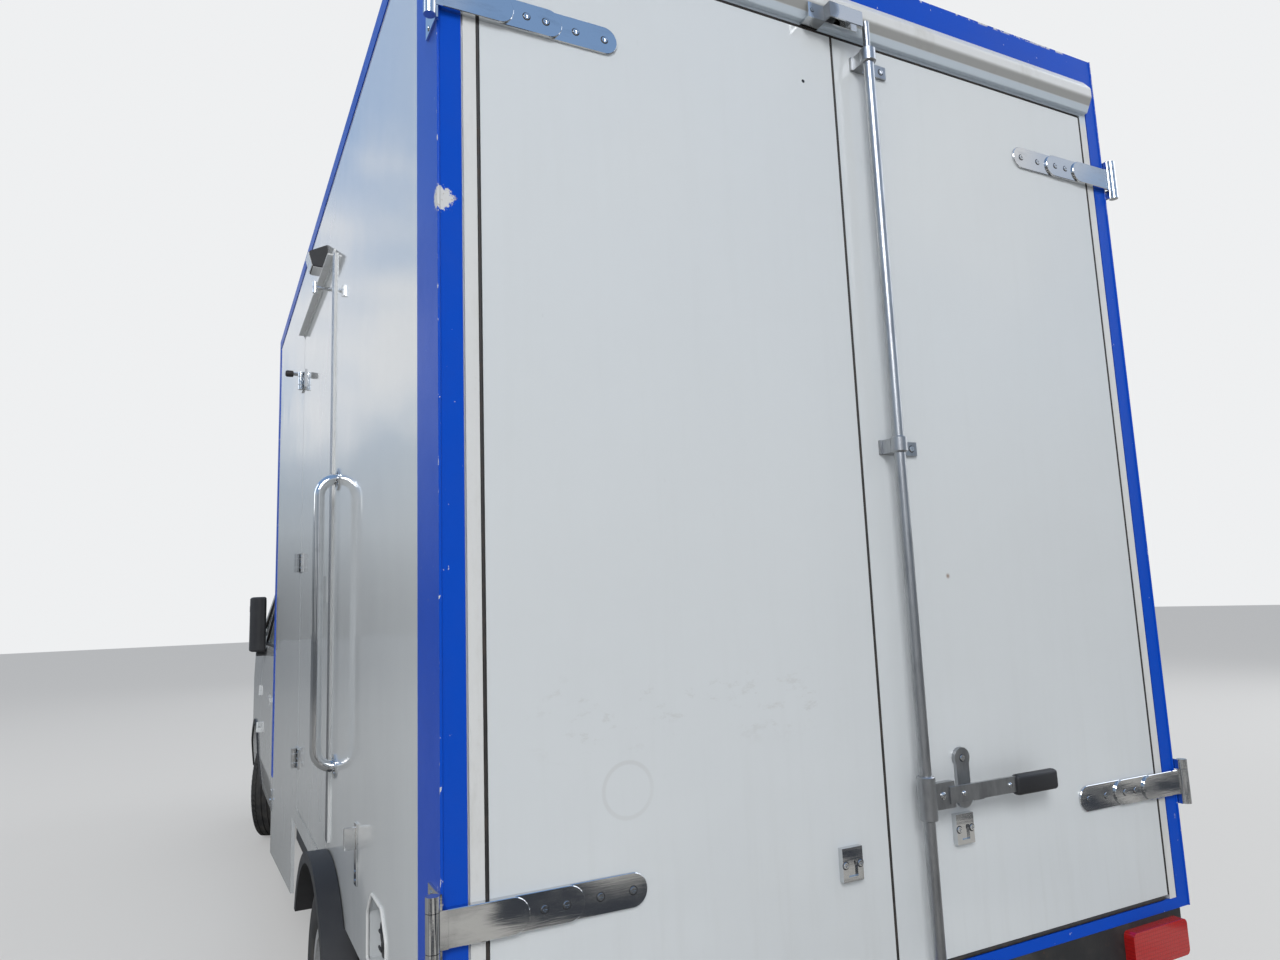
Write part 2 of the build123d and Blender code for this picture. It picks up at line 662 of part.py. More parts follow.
grille_frame = (cab_form(2) - cab_form(30)) & grille_region(-0.3)
grille_holes = (grille_region(-28) & block(2128, nose_in_cab + 50, -600, 600, 600, 1200))
mesh = []
for i in range(7):
    z = 748 + i * 45
    mesh.append(block(2428, nose_in_cab - 12, -560, 560, z, z + 12))
grille = grille_frame - grille_holes
bars = (cab_form(12) - cab_form(24)) & grille_region(-27)
bar_set = mesh[0]
for one in mesh[1:]:
    bar_set += one
for i in range(13):
    y = -540 + i * 90
    bar_set += block(2328, nose_in_cab, y - 5, y + 5, 700, 1060)
grille += bars & bar_set
cowl_side = block(hood_back - 90, hood_back - 12, -760, 760, 1300, 1600)
cowl = cowl_side & (cab_form(-3) - cab_form(-run_gap))
for i in range(25):
    slot_y = -720 + i * 58
    cowl -= block(hood_back - 78, hood_back - 24, slot_y, slot_y + 30, 1300, 1600)

# Hinge knuckles of the cab doors and the hood: one moving, one fixed, on one line

hinge_x = 1036.5
hinge_leaf = 28
hinge_lean = 0.0486


def hinge_point(z):
    """The cab door's hinge line leans in with the side of the cab."""
    return (hinge_x, 1010 + hinge_lean * (1340 - z), z)


cab_knuckle_r = 8
moving_set, fixed_set, moving_room, fixed_room = [], [], [], []
for z in (800, 1040):
    low, mid, high = hinge_point(z - 32), hinge_point(z), hinge_point(z + 32)
    moving_set.append(rod(low, mid, cab_knuckle_r)
                      + block(hinge_x - hinge_leaf, hinge_x, 990, mid[1] + 4, z - 31, z - 1))
    fixed_set.append(rod(hinge_point(z + run_gap), high, cab_knuckle_r)
                     + block(hinge_x, hinge_x + hinge_leaf, 990, mid[1] + 4, z + 2, z + 31))
    moving_room.append(rod(hinge_point(z - 34), hinge_point(z + run_gap), cab_knuckle_r + run_gap))
    fixed_room.append(rod(mid, hinge_point(z + 34), cab_knuckle_r + run_gap))
for moving, fixed, room, other_room in zip(moving_set, fixed_set, moving_room, fixed_room):
    door_left = door_left + moving - other_room
    shell = shell + both(fixed) - both(room)

hood_pivot = (hood_back - cab_gap / 2, 1392)
hood_knuckle_r = 7
hood_knuckle_y = 600
hood_knuckle_w = 34


def hood_pin(y0, y1, radius):
    """A length of the hood's hinge pin."""
    return rod((hood_pivot[0], y0, hood_pivot[1]), (hood_pivot[0], y1, hood_pivot[1]), radius)


knuckle_end = hood_knuckle_y + hood_knuckle_w
far_end = knuckle_end + hood_knuckle_w
hood += both(hood_pin(hood_knuckle_y, knuckle_end, hood_knuckle_r))
hood -= both(hood_pin(knuckle_end, far_end + 1, hood_knuckle_r + run_gap))
shell += both(hood_pin(knuckle_end + run_gap, far_end, hood_knuckle_r))
shell -= both(hood_pin(hood_knuckle_y - 1, knuckle_end + run_gap, hood_knuckle_r + run_gap))



def shell_part(x0, x1, y0, y1, z0, z1):
    """The part of the cab's shell inside a box, so that like-facing panels stay apart."""
    return shell & block(x0, x1, y0, y1, z0, z1)


far = nose_in_cab + 50
wide = half_cab + 50
side_y = 700
pillar_x = 1060
panels = [shell_part(-50, cab_skin, -wide, wide, 0, roof_z + 50)]
panels.append(shell_part(cab_skin, 1700, -side_y, side_y, roof_z - 90, roof_z + 50))
panels.append(shell_part(cab_skin, far, -side_y, side_y, 0, roof_z - 90))
for y0, y1 in ((side_y, wide), (-wide, -side_y)):
    panels.append(shell_part(cab_skin, pillar_x, y0, y1, 0, roof_z - 90))
    panels.append(shell_part(cab_skin, 1700, y0, y1, roof_z - 90, roof_z + 50))
    panels.append(shell_part(pillar_x, far, y0, y1, 0, roof_z - 90))
write("cab_shell", group(*panels), cab_back)
write("hood", hood, cab_back)
write("cab_door_left", door_left, cab_back)
write("cab_door_right", other_side(door_left), cab_back)
write("door_glass_left", window_left, cab_back)
write("door_glass_right", other_side(window_left), cab_back)
write("cab_glass", group(screen, quarter, other_side(quarter)), cab_back)
write("headlamps", both(lamp), cab_back)
write("front_bumper", bumper, cab_back)
write("grille", group(grille, cowl), cab_back)

# Cab floor, bulkhead, dashboard, seats and steering wheel

floor_top = cab_floor_z + cab_floor_t
floor_back = cab_skin + 1
toe_x = bulkhead_x + 36
floor_plates = [
    [(floor_back, cab_floor_z), (1068, cab_floor_z), (1053, floor_top), (floor_back, floor_top)],
    [(1068, cab_floor_z), (1248, 830), (1228, 858), (1053, floor_top)],
    [(1248, 830), (toe_x, 900), (bulkhead_x, 925), (1228, 858)],
    [(toe_x, 900), (toe_x, 1290), (bulkhead_x, 1290), (bulkhead_x, 925)],
]
floor_form = cab_form(cab_skin + 0.4) - both(along_y(round_face(axle_in_cab, axle_z, arch_r + 15), 500, 1000))
plates = [along_y(outline(plate), -978, 978) & floor_form for plate in floor_plates]
for x in (208, 908):
    mount = block(x, x + 80, rail_y - 25, rail_y + 25, rail_z + rail_t + run_gap, cab_floor_z)
    plates.append(both(mount))
liner_ring = round_face(axle_in_cab, axle_z, arch_r + 14) - round_face(axle_in_cab, axle_z, arch_r + 2)
liner = along_y(liner_ring, 560, 975) - block(628, 2328, 500, 1000, 0, axle_z + 60)
write("cab_floor", group(*plates, both(liner & cab_form(cab_skin + 0.4))), cab_back)

dash_x = bulkhead_x - 0.4
dash_side = [(dash_x, 1310), (dash_x, 950), (1148, 900), (1058, 1020), (1028, 1210), (1108, 1330),
             (1288, 1370)]
dash = along_y(outline(dash_side, [10, 30, 60, 40, 60, 80, 30]), -950, 950) & cab_form(cab_skin + 3)
steer_centre = Vector(868, 400, 1200)
steer_lean = 35
steer_axis = Vector(-math.sin(math.radians(steer_lean)), 0, math.cos(math.radians(steer_lean)))
column_start = steer_centre - steer_axis * 30
shaft_end = steer_centre - steer_axis * 120
column_end = steer_centre - steer_axis * 330
dash += rod(tuple(column_end), tuple(column_start), 34)
column_mid = steer_centre - steer_axis * 170
dash += block(column_mid.X, 1128, column_mid.Y - 30, column_mid.Y + 30, column_mid.Z - 40, column_mid.Z + 30)
dash -= rod(tuple(shaft_end - steer_axis * 2), tuple(steer_centre), 12 + run_gap)
write("dashboard", dash, cab_back)

wheel_plane = Plane(origin=tuple(steer_centre), x_dir=(steer_axis.Z, 0, -steer_axis.X),
                    z_dir=tuple(steer_axis))
rim_ring = wheel_plane * Torus(185, 15)
boss = wheel_plane * Cylinder(48, 30)
spokes = wheel_plane * (Box(345, 34, 12) + Pos(0, -85, 0) * Box(40, 175, 12))
shaft = rod(tuple(shaft_end), tuple(steer_centre), 12)
write("steering_wheel", rim_ring + boss + spokes + shaft, cab_back)


def seat():
    """A cushion, a backrest and a headrest, which touch, on a plinth over the floor."""
    cushion = along_y(outline([(372, 832), (812, 840), (848, 960), (815, 1018), (480, 1000), (372, 1000)],
                              [20, 40, 45, 50, 60, 1]), seat_y0, seat_y1)
    back = along_y(outline([(306, 1000), (466, 1000), (366, 1560), (262, 1560)], [1, 1, 45, 45]),
                   seat_y0 + 12, seat_y1 - 12)
    head = along_y(outline([(258, 1590), (346, 1590), (336, 1770), (250, 1770)], 30),
                   seat_mid - 125, seat_mid + 125)
    post_bar = rod((308, seat_mid, 1540), (302, seat_mid, 1610), 14) - back - head
    plinth = block(430, 788, seat_y0 + 50, seat_y1 - 50, floor_top + 0.3, 845) - cushion
    return group(cushion, back, head, post_bar, plinth)


seat_y0 = 190
seat_y1 = 690
seat_mid = (seat_y0 + seat_y1) / 2
write("seats", both(seat()), cab_back)

# Mirrors folded along the doors

mirror_in, mirror_out = 1011, 1103
mirror_plan = [(818, mirror_in), (1028, mirror_in), (1028, mirror_out), (818, mirror_out)]
mirror_head = along_z(outline(mirror_plan, [14, 14, 44, 60]), 1300, 1655)
mirror_head = fillet(mirror_head.faces().filter_by(Axis.Z).edges(), 13)
mirror_arm = block(868, 978, 975, 1060, 1272, 1318)
mirror_left = mirror_head + mirror_arm
mirror_left -= door_left
write("mirror_left", mirror_left, cab_back)
write("mirror_right", other_side(mirror_left), cab_back)

# Engine, tank and exhaust

engine = block(bulkhead_x + 127, bulkhead_x + 712, -290, 290, 480, 1080)
engine += block(bulkhead_x + 340, bulkhead_x + 430, -web_y + run_gap, web_y - run_gap, 500, 570)
write("engine_block", engine, cab_back)
tank_len = 780
tank_x1 = body_l - 190
tank_top = 600
tank = fillet(block(tank_x1 - tank_len, tank_x1, 500, 900, 330, tank_top).edges().filter_by(Axis.X), 50)
under_bearer = rail_z + rail_t
for x in bearer_xs[7:9]:
    tank += block(x + 5, x + 40, 560, 840, tank_top - 10, under_bearer)
write("fuel_tank", tank)
exhaust_y, exhaust_z = -540, 400
outlet_x = body_l - 1500
exhaust_path = FilletPolyline((cab_back + 1128, -300, exhaust_z + 20), (cab_back + 428, exhaust_y, exhaust_z),
                              (outlet_x + 120, exhaust_y, exhaust_z), (outlet_x, -700, exhaust_z - 10),
                              (outlet_x, -960, exhaust_z - 20), radius=80)
exhaust = sweep(Plane(origin=exhaust_path @ 0, z_dir=exhaust_path % 0) * Circle(28), path=exhaust_path)
exhaust += rod((outlet_x + 370, exhaust_y, exhaust_z), (outlet_x + 1170, exhaust_y, exhaust_z), 95)
for x in bearer_xs[6:8]:
    exhaust += block(x + 12, x + 34, exhaust_y - 8, exhaust_y + 8, exhaust_z + 20, under_bearer)
write("exhaust", exhaust)

# Flares, skirts, bumpers and lamps outside the body

flare_ring = round_face(rear_axle_x, axle_z, flare_r) - round_face(rear_axle_x, axle_z, flare_r - 34)
flare = along_y(flare_ring, half_body + 3.3, half_body + flare_out)
inner_lip = round_face(rear_axle_x, axle_z, flare_r) - round_face(rear_axle_x, axle_z, flare_r - 12)
flare_x0, flare_x1 = rear_axle_x - 2 * flare_r, rear_axle_x + 2 * flare_r
flare += (along_y(inner_lip, half_body - 26, half_body + 4)
          - block(flare_x0, flare_x1, half_body - 60, half_body + 3.3, body_z, 900))
flare -= block(flare_x0, flare_x1, 900, 1200, -200, axle_z + 170)
flap_x = rear_axle_x - 470
flap = block(flap_x, flap_x + 8, 640, half_body - 10, 170, 610)
flap += block(flap_x, flap_x + 28, rail_y + rail_w / 2 + run_gap, 700, rail_z + 95, rail_z + 130)
cab_lip_ring = round_face(axle_in_cab, axle_z, arch_r + 34) - round_face(axle_in_cab, axle_z, arch_r - 4)
cab_lip = along_y(cab_lip_ring, 500, half_cab + 60) & (cab_form(-9) - cab_form(-run_gap))
cab_lip -= block(axle_in_cab - 600, axle_in_cab + 600, 0, half_cab + 60, 0, 430)
write("fender_flares", both(group(flare, flap, Pos(cab_back, 0, 0) * cab_lip)))

skirt_aft = side_fore + 210
skirt_face = outline([(skirt_aft, 335), (body_l, 245), (body_l, body_z - 0.3), (skirt_aft, body_z - 0.3)])
skirt = along_y(skirt_face, half_body - 14, half_body)
sill_strip = block(rear_axle_x + flare_r + 5, skirt_aft - 5, half_body - 34, half_body - 22,
                   body_z - 92, body_z - 0.3)
write("side_skirts", both(group(skirt, sill_strip)))

rear_panel = block(0, 12, -half_body + 40, half_body - 40, 530, body_z - 0.3)
under_bar = block(-60, 20, -900, 900, 400, 480)
hangers = block(20, 39.7, rail_y - 30, rail_y + 30, 400, 529)
write("rear_bumper", rear_panel + under_bar + both(hangers))
tail = fillet(block(-28, -0.3, 740, 960, 545, 635).edges().filter_by(Axis.X), 14)
write("lamps", both(tail))

side_lamp_x = 1745
wall_y = half_body + run_gap
side_lamp_z = side_top + 57
wedge = [(wall_y, side_lamp_z + 90), (half_body + 66, side_lamp_z + 56), (half_body + 52, side_lamp_z + 2),
         (wall_y, side_lamp_z)]
write("side_lamp", along_x(outline(wedge, [2, 6, 6, 2]), side_lamp_x - 48, side_lamp_x + 48))

# Roof unit: a low cover with two fans under round openings

unit_x1 = body_l - 70
unit_x0 = unit_x1 - 700
unit_half = 730
unit_top = body_top + 155
fan_r = 190
unit = block(unit_x0, unit_x1, -unit_half, unit_half, body_top - 4 + run_gap, unit_top)
unit = fillet(unit.edges().filter_by(Axis.Z), 120)
unit = fillet(unit.faces().sort_by(Axis.Z)[-1].edges(), 36)
unit_mid = (unit_x0 + unit_x1) / 2
for fan_y in (-340, 340):
    well = (unit_mid, fan_y, unit_top - 75)
    unit -= rod(well, (unit_mid, fan_y, unit_top + 1), fan_r)
    unit += rod((unit_mid, fan_y, unit_top - 76), (unit_mid, fan_y, unit_top - 30), 48)
    for turn in range(6):
        blade = Pos(110, 0, 0) * Rot(28, 0, 0) * Box(130, 62, 4)
        unit += Pos(unit_mid, fan_y, unit_top - 48) * Rot(0, 0, turn * 60) * blade
for i in range(5):
    slot_z = body_top + 40 + i * 17
    unit -= block(unit_x1 - 12, unit_x1 + 1, -480, 480, slot_z, slot_z + 8)
write("roof_unit", unit)

front_x = body_l + run_gap
vent_half = 345
vent_z = body_top - 230
vent_h = 115
vent = block(front_x, front_x + 12, -vent_half, vent_half, vent_z, vent_z + vent_h)
vent -= block(front_x + 4, front_x + 20, 14 - vent_half, vent_half - 14, vent_z + 14, vent_z + vent_h - 14)
for i in range(5):
    slat_z = vent_z + 17 + i * 18
    vent += block(front_x, front_x + 10, 12 - vent_half, vent_half - 12, slat_z, slat_z + 6)
scoop_z = body_top - 590
scoop_h = 180
scoop_top = scoop_z + scoop_h
scoop_face = outline([(-515, scoop_z), (515, scoop_z), (440, scoop_top), (-440, scoop_top)], 20)
scoop = along_x(scoop_face, front_x, front_x + 14)
scoop -= along_x(offset(scoop_face, amount=-22), front_x + 4, front_x + 20)
for i in range(6):
    rib_y = -350 + i * 140
    scoop += block(front_x + 3, front_x + 11, rib_y - 4, rib_y + 4, scoop_z + 15, scoop_top - 13)
write("fascia_grilles", group(vent, scoop))

pan_y = half_body - filler_deep
pan = along_y(filler_outline(-0.4), pan_y + 0.3, pan_y + 5)
cap = rod((585, pan_y + 5, 790), (585, half_body - 10, 790), 30)
cap += rod((585, half_body - 11, 790), (585, half_body - 6, 790), 24)
small_cap = rod((640, pan_y + 5, 738), (640, half_body - 18, 738), 21)
write("filler_recess", pan + cap + small_cap)

# Rubber seals round the doors

seal = block(6, 20, leaf_edge - door_gap + 1, leaf_edge - 0.3, door_bottom, door_top)
side_seal = block(side_aft - door_gap + 0.3, side_aft - 1, half_body - 20, half_body - 2,
                  side_bottom, side_top)
write("door_seals", group(seal, other_side(seal), side_seal))

# Every piece goes to its own file, moved so that the origin is under the truck's middle

rearmost = min(solid.bounding_box().min.X for solids in pieces.values() for solid in solids)
foremost = max(solid.bounding_box().max.X for solids in pieces.values() for solid in solids)
mid_x = (rearmost + foremost) / 2
for name, solids in pieces.items():
    moved = [Pos(-mid_x, 0, 0) * solid for solid in solids]
    export_step(moved[0] if len(moved) == 1 else Compound(children=moved), f"parts/{name}.step")
print("middle of the length", round(mid_x, 3))
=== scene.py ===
import json
import math

import bmesh
import bpy
from mathutils import Matrix, Vector
from mathutils.bvhtree import BVHTree

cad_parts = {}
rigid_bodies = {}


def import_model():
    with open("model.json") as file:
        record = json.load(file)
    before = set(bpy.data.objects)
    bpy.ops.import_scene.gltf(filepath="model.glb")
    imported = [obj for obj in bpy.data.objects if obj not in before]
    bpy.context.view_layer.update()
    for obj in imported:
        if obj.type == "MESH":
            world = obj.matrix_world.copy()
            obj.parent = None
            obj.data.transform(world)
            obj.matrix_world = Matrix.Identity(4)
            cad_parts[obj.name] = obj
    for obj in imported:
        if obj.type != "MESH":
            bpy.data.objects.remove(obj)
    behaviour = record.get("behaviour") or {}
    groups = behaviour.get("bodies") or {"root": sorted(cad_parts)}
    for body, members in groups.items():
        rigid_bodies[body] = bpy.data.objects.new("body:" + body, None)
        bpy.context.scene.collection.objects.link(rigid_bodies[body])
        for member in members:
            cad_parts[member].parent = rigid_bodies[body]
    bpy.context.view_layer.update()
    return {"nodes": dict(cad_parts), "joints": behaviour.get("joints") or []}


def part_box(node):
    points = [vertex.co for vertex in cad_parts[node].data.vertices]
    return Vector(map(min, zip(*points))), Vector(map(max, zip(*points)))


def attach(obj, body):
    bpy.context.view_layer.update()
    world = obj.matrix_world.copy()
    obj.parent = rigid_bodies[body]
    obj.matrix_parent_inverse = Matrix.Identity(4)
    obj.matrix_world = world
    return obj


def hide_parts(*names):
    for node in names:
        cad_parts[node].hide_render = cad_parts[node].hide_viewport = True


bl_info = {
    "name": "Box Truck Looks",
    "version": (1, 0, 0),
    "blender": (4, 5, 0),
    "location": "3D View > Sidebar > Truck",
    "description": "Finishes and small parts for a light box truck with an insulated body",
    "category": "Object",
}

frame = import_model()
nodes = frame["nodes"]
rear_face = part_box("rear_door_left")[0][0]


def at(x, y, z):
    """A place ahead of the body's rear face, left of the middle line and above the ground."""
    return Vector((rear_face + x, y, z))


# Sizes and colours that a user would change


class BodyLooks(bpy.types.PropertyGroup):
    panel: bpy.props.FloatVectorProperty(
        name="Panel white", description="Colour of the laminate panels", subtype="COLOR",
        default=(0.585, 0.615, 0.635), size=3)
    rail: bpy.props.FloatVectorProperty(
        name="Rail blue", description="Colour of the corner posts and top rails", subtype="COLOR",
        default=(0.001, 0.062, 0.47), size=3)
    jamb: bpy.props.FloatVectorProperty(
        name="Jamb white", description="Colour of the door jambs and drip rails", subtype="COLOR",
        default=(0.600, 0.610, 0.610), size=3)
    screw: bpy.props.FloatProperty(
        name="Screw head", description="Radius of a countersunk hinge screw", subtype="DISTANCE",
        unit="LENGTH", default=0.0074)


class CabLooks(bpy.types.PropertyGroup):
    paint: bpy.props.FloatVectorProperty(
        name="Cab white", description="Colour of the cab's paint", subtype="COLOR",
        default=(0.64, 0.66, 0.67), size=3)
    cloth: bpy.props.FloatVectorProperty(
        name="Seat cloth", description="Colour of the seat cloth", subtype="COLOR",
        default=(0.035, 0.037, 0.042), size=3)


class WheelLooks(bpy.types.PropertyGroup):
    groove: bpy.props.FloatProperty(
        name="Groove depth", description="Depth of the tread grooves", subtype="DISTANCE",
        unit="LENGTH", default=0.008)
    blocks: bpy.props.IntProperty(
        name="Shoulder blocks", description="Tread blocks round each shoulder", default=64)
    rim: bpy.props.FloatVectorProperty(
        name="Rim silver", description="Colour of the steel rims", subtype="COLOR",
        default=(0.42, 0.43, 0.44), size=3)


# Node building


def joined(operation, swapped=False):
    """A method that joins a wire and another value by a maths node."""
    def method(wire, other=0.0):
        first, second = (other, wire) if swapped else (wire, other)
        return wire.board.wire("ShaderNodeMath", {"operation": operation}, {0: first, 1: second})
    return method


class Wire:
    """A node socket that takes part in Python's arithmetic."""

    def __init__(self, board, socket):
        self.board = board
        self.socket = socket

    __add__, __radd__ = joined("ADD"), joined("ADD", True)
    __sub__, __rsub__ = joined("SUBTRACT"), joined("SUBTRACT", True)
    __mul__, __rmul__ = joined("MULTIPLY"), joined("MULTIPLY", True)
    __truediv__ = joined("DIVIDE")
    __mod__ = joined("FLOORED_MODULO")
    __abs__ = joined("ABSOLUTE")
    most = joined("MAXIMUM")


def as_color(value):
    """A colour as a socket takes it."""
    return value if isinstance(value, Wire) else (*tuple(value)[:3], 1.0)


class Board:
    """A node tree that is built node by node."""

    def node(self, kind, settings=None, sockets=None):
        """Adds a node of a type, makes its settings, then fills its sockets."""
        made = self.tree.nodes.new(kind)
        for key, value in (settings or {}).items():
            if key == "stops":
                while len(made.color_ramp.elements) < len(value):
                    made.color_ramp.elements.new(0.5)
                for stop, (place, tint) in zip(made.color_ramp.elements, value):
                    stop.position = place
                    stop.color = as_color(tint)
            else:
                setattr(made, key, value)
        for key, value in (sockets or {}).items():
            if isinstance(value, Wire):
                self.tree.links.new(value.socket, made.inputs[key])
            elif value is not None:
                made.inputs[key].default_value = value
        return made

    def wire(self, kind, settings=None, sockets=None, output=0):
        """Adds a node and gives the one output of it that is used."""
        return Wire(self, self.node(kind, settings, sockets).outputs[output])

    def step(self, value, low, high):
        """0 below low, 1 above high, and a soft change between."""
        return self.wire("ShaderNodeMapRange", {"interpolation_type": "SMOOTHSTEP"},
                         {"Value": value, "From Min": low, "From Max": high})


class Finish(Board):
    """One material."""

    def __init__(self, name):
        self.material = bpy.data.materials.new(name)
        self.material.use_nodes = True
        self.tree = self.material.node_tree
        self.tree.nodes.clear()
        self.spot = self.wire("ShaderNodeTexCoord", output="Object")

    def scaled(self, *scale):
        """The point on the object with its axes scaled, which stretches a pattern."""
        return self.wire("ShaderNodeMapping", None, {"Vector": self.spot, "Scale": scale})

    def axes(self):
        """The point's x, y and z as three numbers."""
        made = self.node("ShaderNodeSeparateXYZ", None, {0: self.spot})
        return [Wire(self, output) for output in made.outputs]

    def noise(self, scale, detail=3.0, rough=0.55, where=None):
        return self.wire("ShaderNodeTexNoise", None, {"Vector": where or self.spot, "Scale": scale,
                                                      "Detail": detail, "Roughness": rough})

    def patches(self, low, high, *noise):
        """Noise as soft patches: none where it is below low, full above high."""
        return self.step(self.noise(*noise), low, high)

    def cells(self, scale, feature="F1"):
        return self.wire("ShaderNodeTexVoronoi", {"feature": feature}, {"Vector": self.spot, "Scale": scale})

    def waves(self, scale, direction):
        return self.wire("ShaderNodeTexWave", {"bands_direction": direction},
                         {"Vector": self.spot, "Scale": scale}, "Fac")

    def mix(self, first, second, share):
        """One colour going over to another."""
        return self.wire("ShaderNodeMix", {"data_type": "RGBA"},
                         {0: share, 6: as_color(first), 7: as_color(second)}, 2)

    def bump(self, height, distance, strength=1.0):
        return self.wire("ShaderNodeBump", None,
                         {"Height": height, "Distance": distance, "Strength": strength})

    def away(self, spot):
        """How far the point is from a place."""
        return self.wire("ShaderNodeVectorMath", {"operation": "DISTANCE"}, {0: self.spot, 1: spot}, "Value")

    def near(self, spot, radius, soft=0.3):
        """1 inside a small ball round a place, for a mark at one spot."""
        return 1 - self.step(self.away(spot), radius * (1 - soft), radius)

    def done(self, base, rough=0.5, metal=0.0, normal=None, **sockets):
        """Closes the material with a principled shader; other sockets' names have _ for a space."""
        named = {name.replace("_", " "): value for name, value in sockets.items()}
        shader = self.wire("ShaderNodeBsdfPrincipled", None, {
            "Base Color": as_color(base), "Roughness": rough, "Metallic": metal, "Normal": normal, **named})
        self.node("ShaderNodeOutputMaterial", None, {0: shader})
        return self.material


finishes = {}


def finish(name):
    """The named finish, made on first use."""
    if name not in finishes:
        finishes[name] = recipes[name](Finish(name))
    return finishes[name]


def laminate(f, base, rough, coat, marks=None):
    """Glossy white laminate with faint road film, scuffs and a slow wave in the skin."""
    _, _, z = f.axes()
    film = f.noise(1.3, 4.0, 0.6)
    streak = f.noise(6.0, 4.0, 0.6, f.scaled(5.0, 5.0, 0.35))
    scuff = f.patches(0.66, 0.74, 38.0, 6.0, 0.72, f.scaled(1.0, 1.0, 0.5))
    low = 1 - f.step(z, 0.62, 1.5)
    dirt = (f.step(film, 0.35, 0.75) * 0.1 + f.step(streak, 0.45, 0.75) * 0.06) * (0.3 + low * 0.8)
    color = f.mix(base, (0.3, 0.29, 0.26), dirt)
    color = f.mix(color, (0.36, 0.37, 0.38), scuff * 0.16)
    for color_of_mark, mask in (marks(f) if marks else ()):
        color = f.mix(color, color_of_mark, mask)
    skin = f.bump(f.noise(1.9, 2.0, 0.4), 0.012, 0.45)
    return f.done(color, rough + dirt * 1.1 + scuff * 0.12, 0.0, skin, Coat_Weight=coat, Coat_Roughness=0.03)


def door_marks(f):
    """A drilled hole, a rust spot and small knocks on the rear doors."""
    _, y, z = f.axes()
    hole = f.near(at(0.0, 0.109, 2.785), 0.0055)
    spot = f.near(at(0.0, -0.235, 1.554), 0.009, 0.9)
    band = f.step(z, 1.2, 1.27) * (1 - f.step(z, 1.33, 1.4))
    band = band * f.step(y, 0.08, 0.2) * (1 - f.step(y, 0.78, 0.88))
    wiped = f.patches(0.54, 0.66, 34.0, 6.0, 0.72, f.scaled(1.0, 0.45, 1.0)) * band
    ring = 1 - f.step(abs(f.away(at(0.0, 0.656, 1.157)) - 0.052), 0.002, 0.006)
    tracks = f.patches(0.35, 0.6, 3.0, 3.0, 0.5)
    return [((0.02, 0.018, 0.015), hole), ((0.2, 0.11, 0.06), spot * 0.75), ((0.42, 0.42, 0.41), wiped * 0.3),
            ((0.42, 0.42, 0.42), ring * 0.3 * tracks)]


def body_panel(f):
    return laminate(f, bpy.context.scene.truck_body.panel, 0.06, 0.45)


def rear_door(f):
    return laminate(f, bpy.context.scene.truck_body.panel, 0.13, 0.1, door_marks)


def rail_blue(f):
    """Blue powder coat, chipped to pale primer along the corner ridges and the top edge."""
    x, y, z = f.axes()
    blue = bpy.context.scene.truck_body.rail
    corner = 1.0215  # how far out the posts' corner ridges are
    off_ridge = abs(x - rear_face).most(abs(abs(y) - corner))
    ridge = 1 - f.step(off_ridge, 0.0012, 0.0042)
    patchy = f.patches(0.5, 0.62, 2.6, 3.0, 0.6)
    grain = f.noise(75.0, 4.0, 0.65, f.scaled(1.0, 1.0, 0.55))
    chips = f.step(grain + ridge * 0.1 + patchy * 0.05, 0.72, 0.74)
    top_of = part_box("rear_frame")[1][2]
    top = f.step(z, top_of - 0.008, top_of - 0.002)
    worn = f.step(0 - y, 0.42, 0.55) * (1 - f.step(0 - y, 0.88, 1.0))
    along_top = f.step(f.noise(26.0, 5.0, 0.7) + worn * 0.1, 0.6, 0.63) * top
    torn = f.noise(130.0, 5.0, 0.75)
    knock = f.near(at(0.0, 1.016, 2.31), 0.05, 1.0) * 0.62 + torn
    knock = f.step(knock, 0.8, 0.84)
    upper_right = f.patches(0.5, 0.56, 34.0, 4.0, 0.7) * ridge
    upper_right = upper_right * f.step(0 - y, 0.9, 1.0) * f.step(z, 2.45, 2.75)
    right_worn = f.near(at(0.0, -corner, 1.6), 0.1, 0.9) * f.step(grain, 0.5, 0.6) * ridge
    right_worn = right_worn.most(upper_right)
    bare = chips.most(along_top).most(knock).most(right_worn)
    film = f.patches(0.4, 0.8, 3.0, 5.0, 0.6)
    color = f.mix(blue, tuple(c * 0.82 + 0.012 for c in blue), film * 0.5)
    color = f.mix(color, f.mix((0.56, 0.57, 0.58), (0.25, 0.17, 0.1), f.step(torn, 0.56, 0.7)), bare)
    peel = f.bump(f.noise(420.0, 2.0, 0.5) - bare * 0.9, 0.0004, 0.5)
    return f.done(color, 0.3 + bare * 0.4 + film * 0.1, 0.0, peel, Specular_IOR_Level=0.12)


def jamb_white(f):
    """Cool white trim with grime; painted shade makes the drip rail's underside darker grey, and a painted
    shadow makes the strip below it blue-grey.
    """
    grime_and_shade = f.patches(0.48, 0.72, 14.0, 6.0, 0.68, f.scaled(1.0, 1.0, 0.3))
    fine = f.patches(0.6, 0.7, 90.0, 4.0, 0.7)
    x, _, z = f.axes()
    outside = 1 - f.step(x, rear_face, rear_face + 0.01)
    above = f.step(z, 2.96, 2.964)
    # Painted shade: the underside of the drip rail is made darker grey.
    shaded_underside = above * (1 - f.step(z, 2.978, 2.992)) * outside
    # Painted shadow: the strip of jamb just below the drip rail is made blue-grey.
    strip = (1 - above) * f.step(z, 2.9, 2.93) * outside
    color = f.mix(bpy.context.scene.truck_body.jamb, (0.3, 0.28, 0.24), grime_and_shade * 0.22 + fine * 0.08)
    # Painted shade: dark grey on the drip rail's underside.
    color = f.mix(color, (0.2, 0.2, 0.19), shaded_underside * 0.72)
    # Painted shadow: blue-grey on the strip below the drip rail.
    color = f.mix(color, (0.46, 0.53, 0.6), strip * 0.85)
    return f.done(color, 0.36 + grime_and_shade * 0.2, 0.0, f.bump(f.noise(160.0, 3.0, 0.6), 0.0004, 0.4))


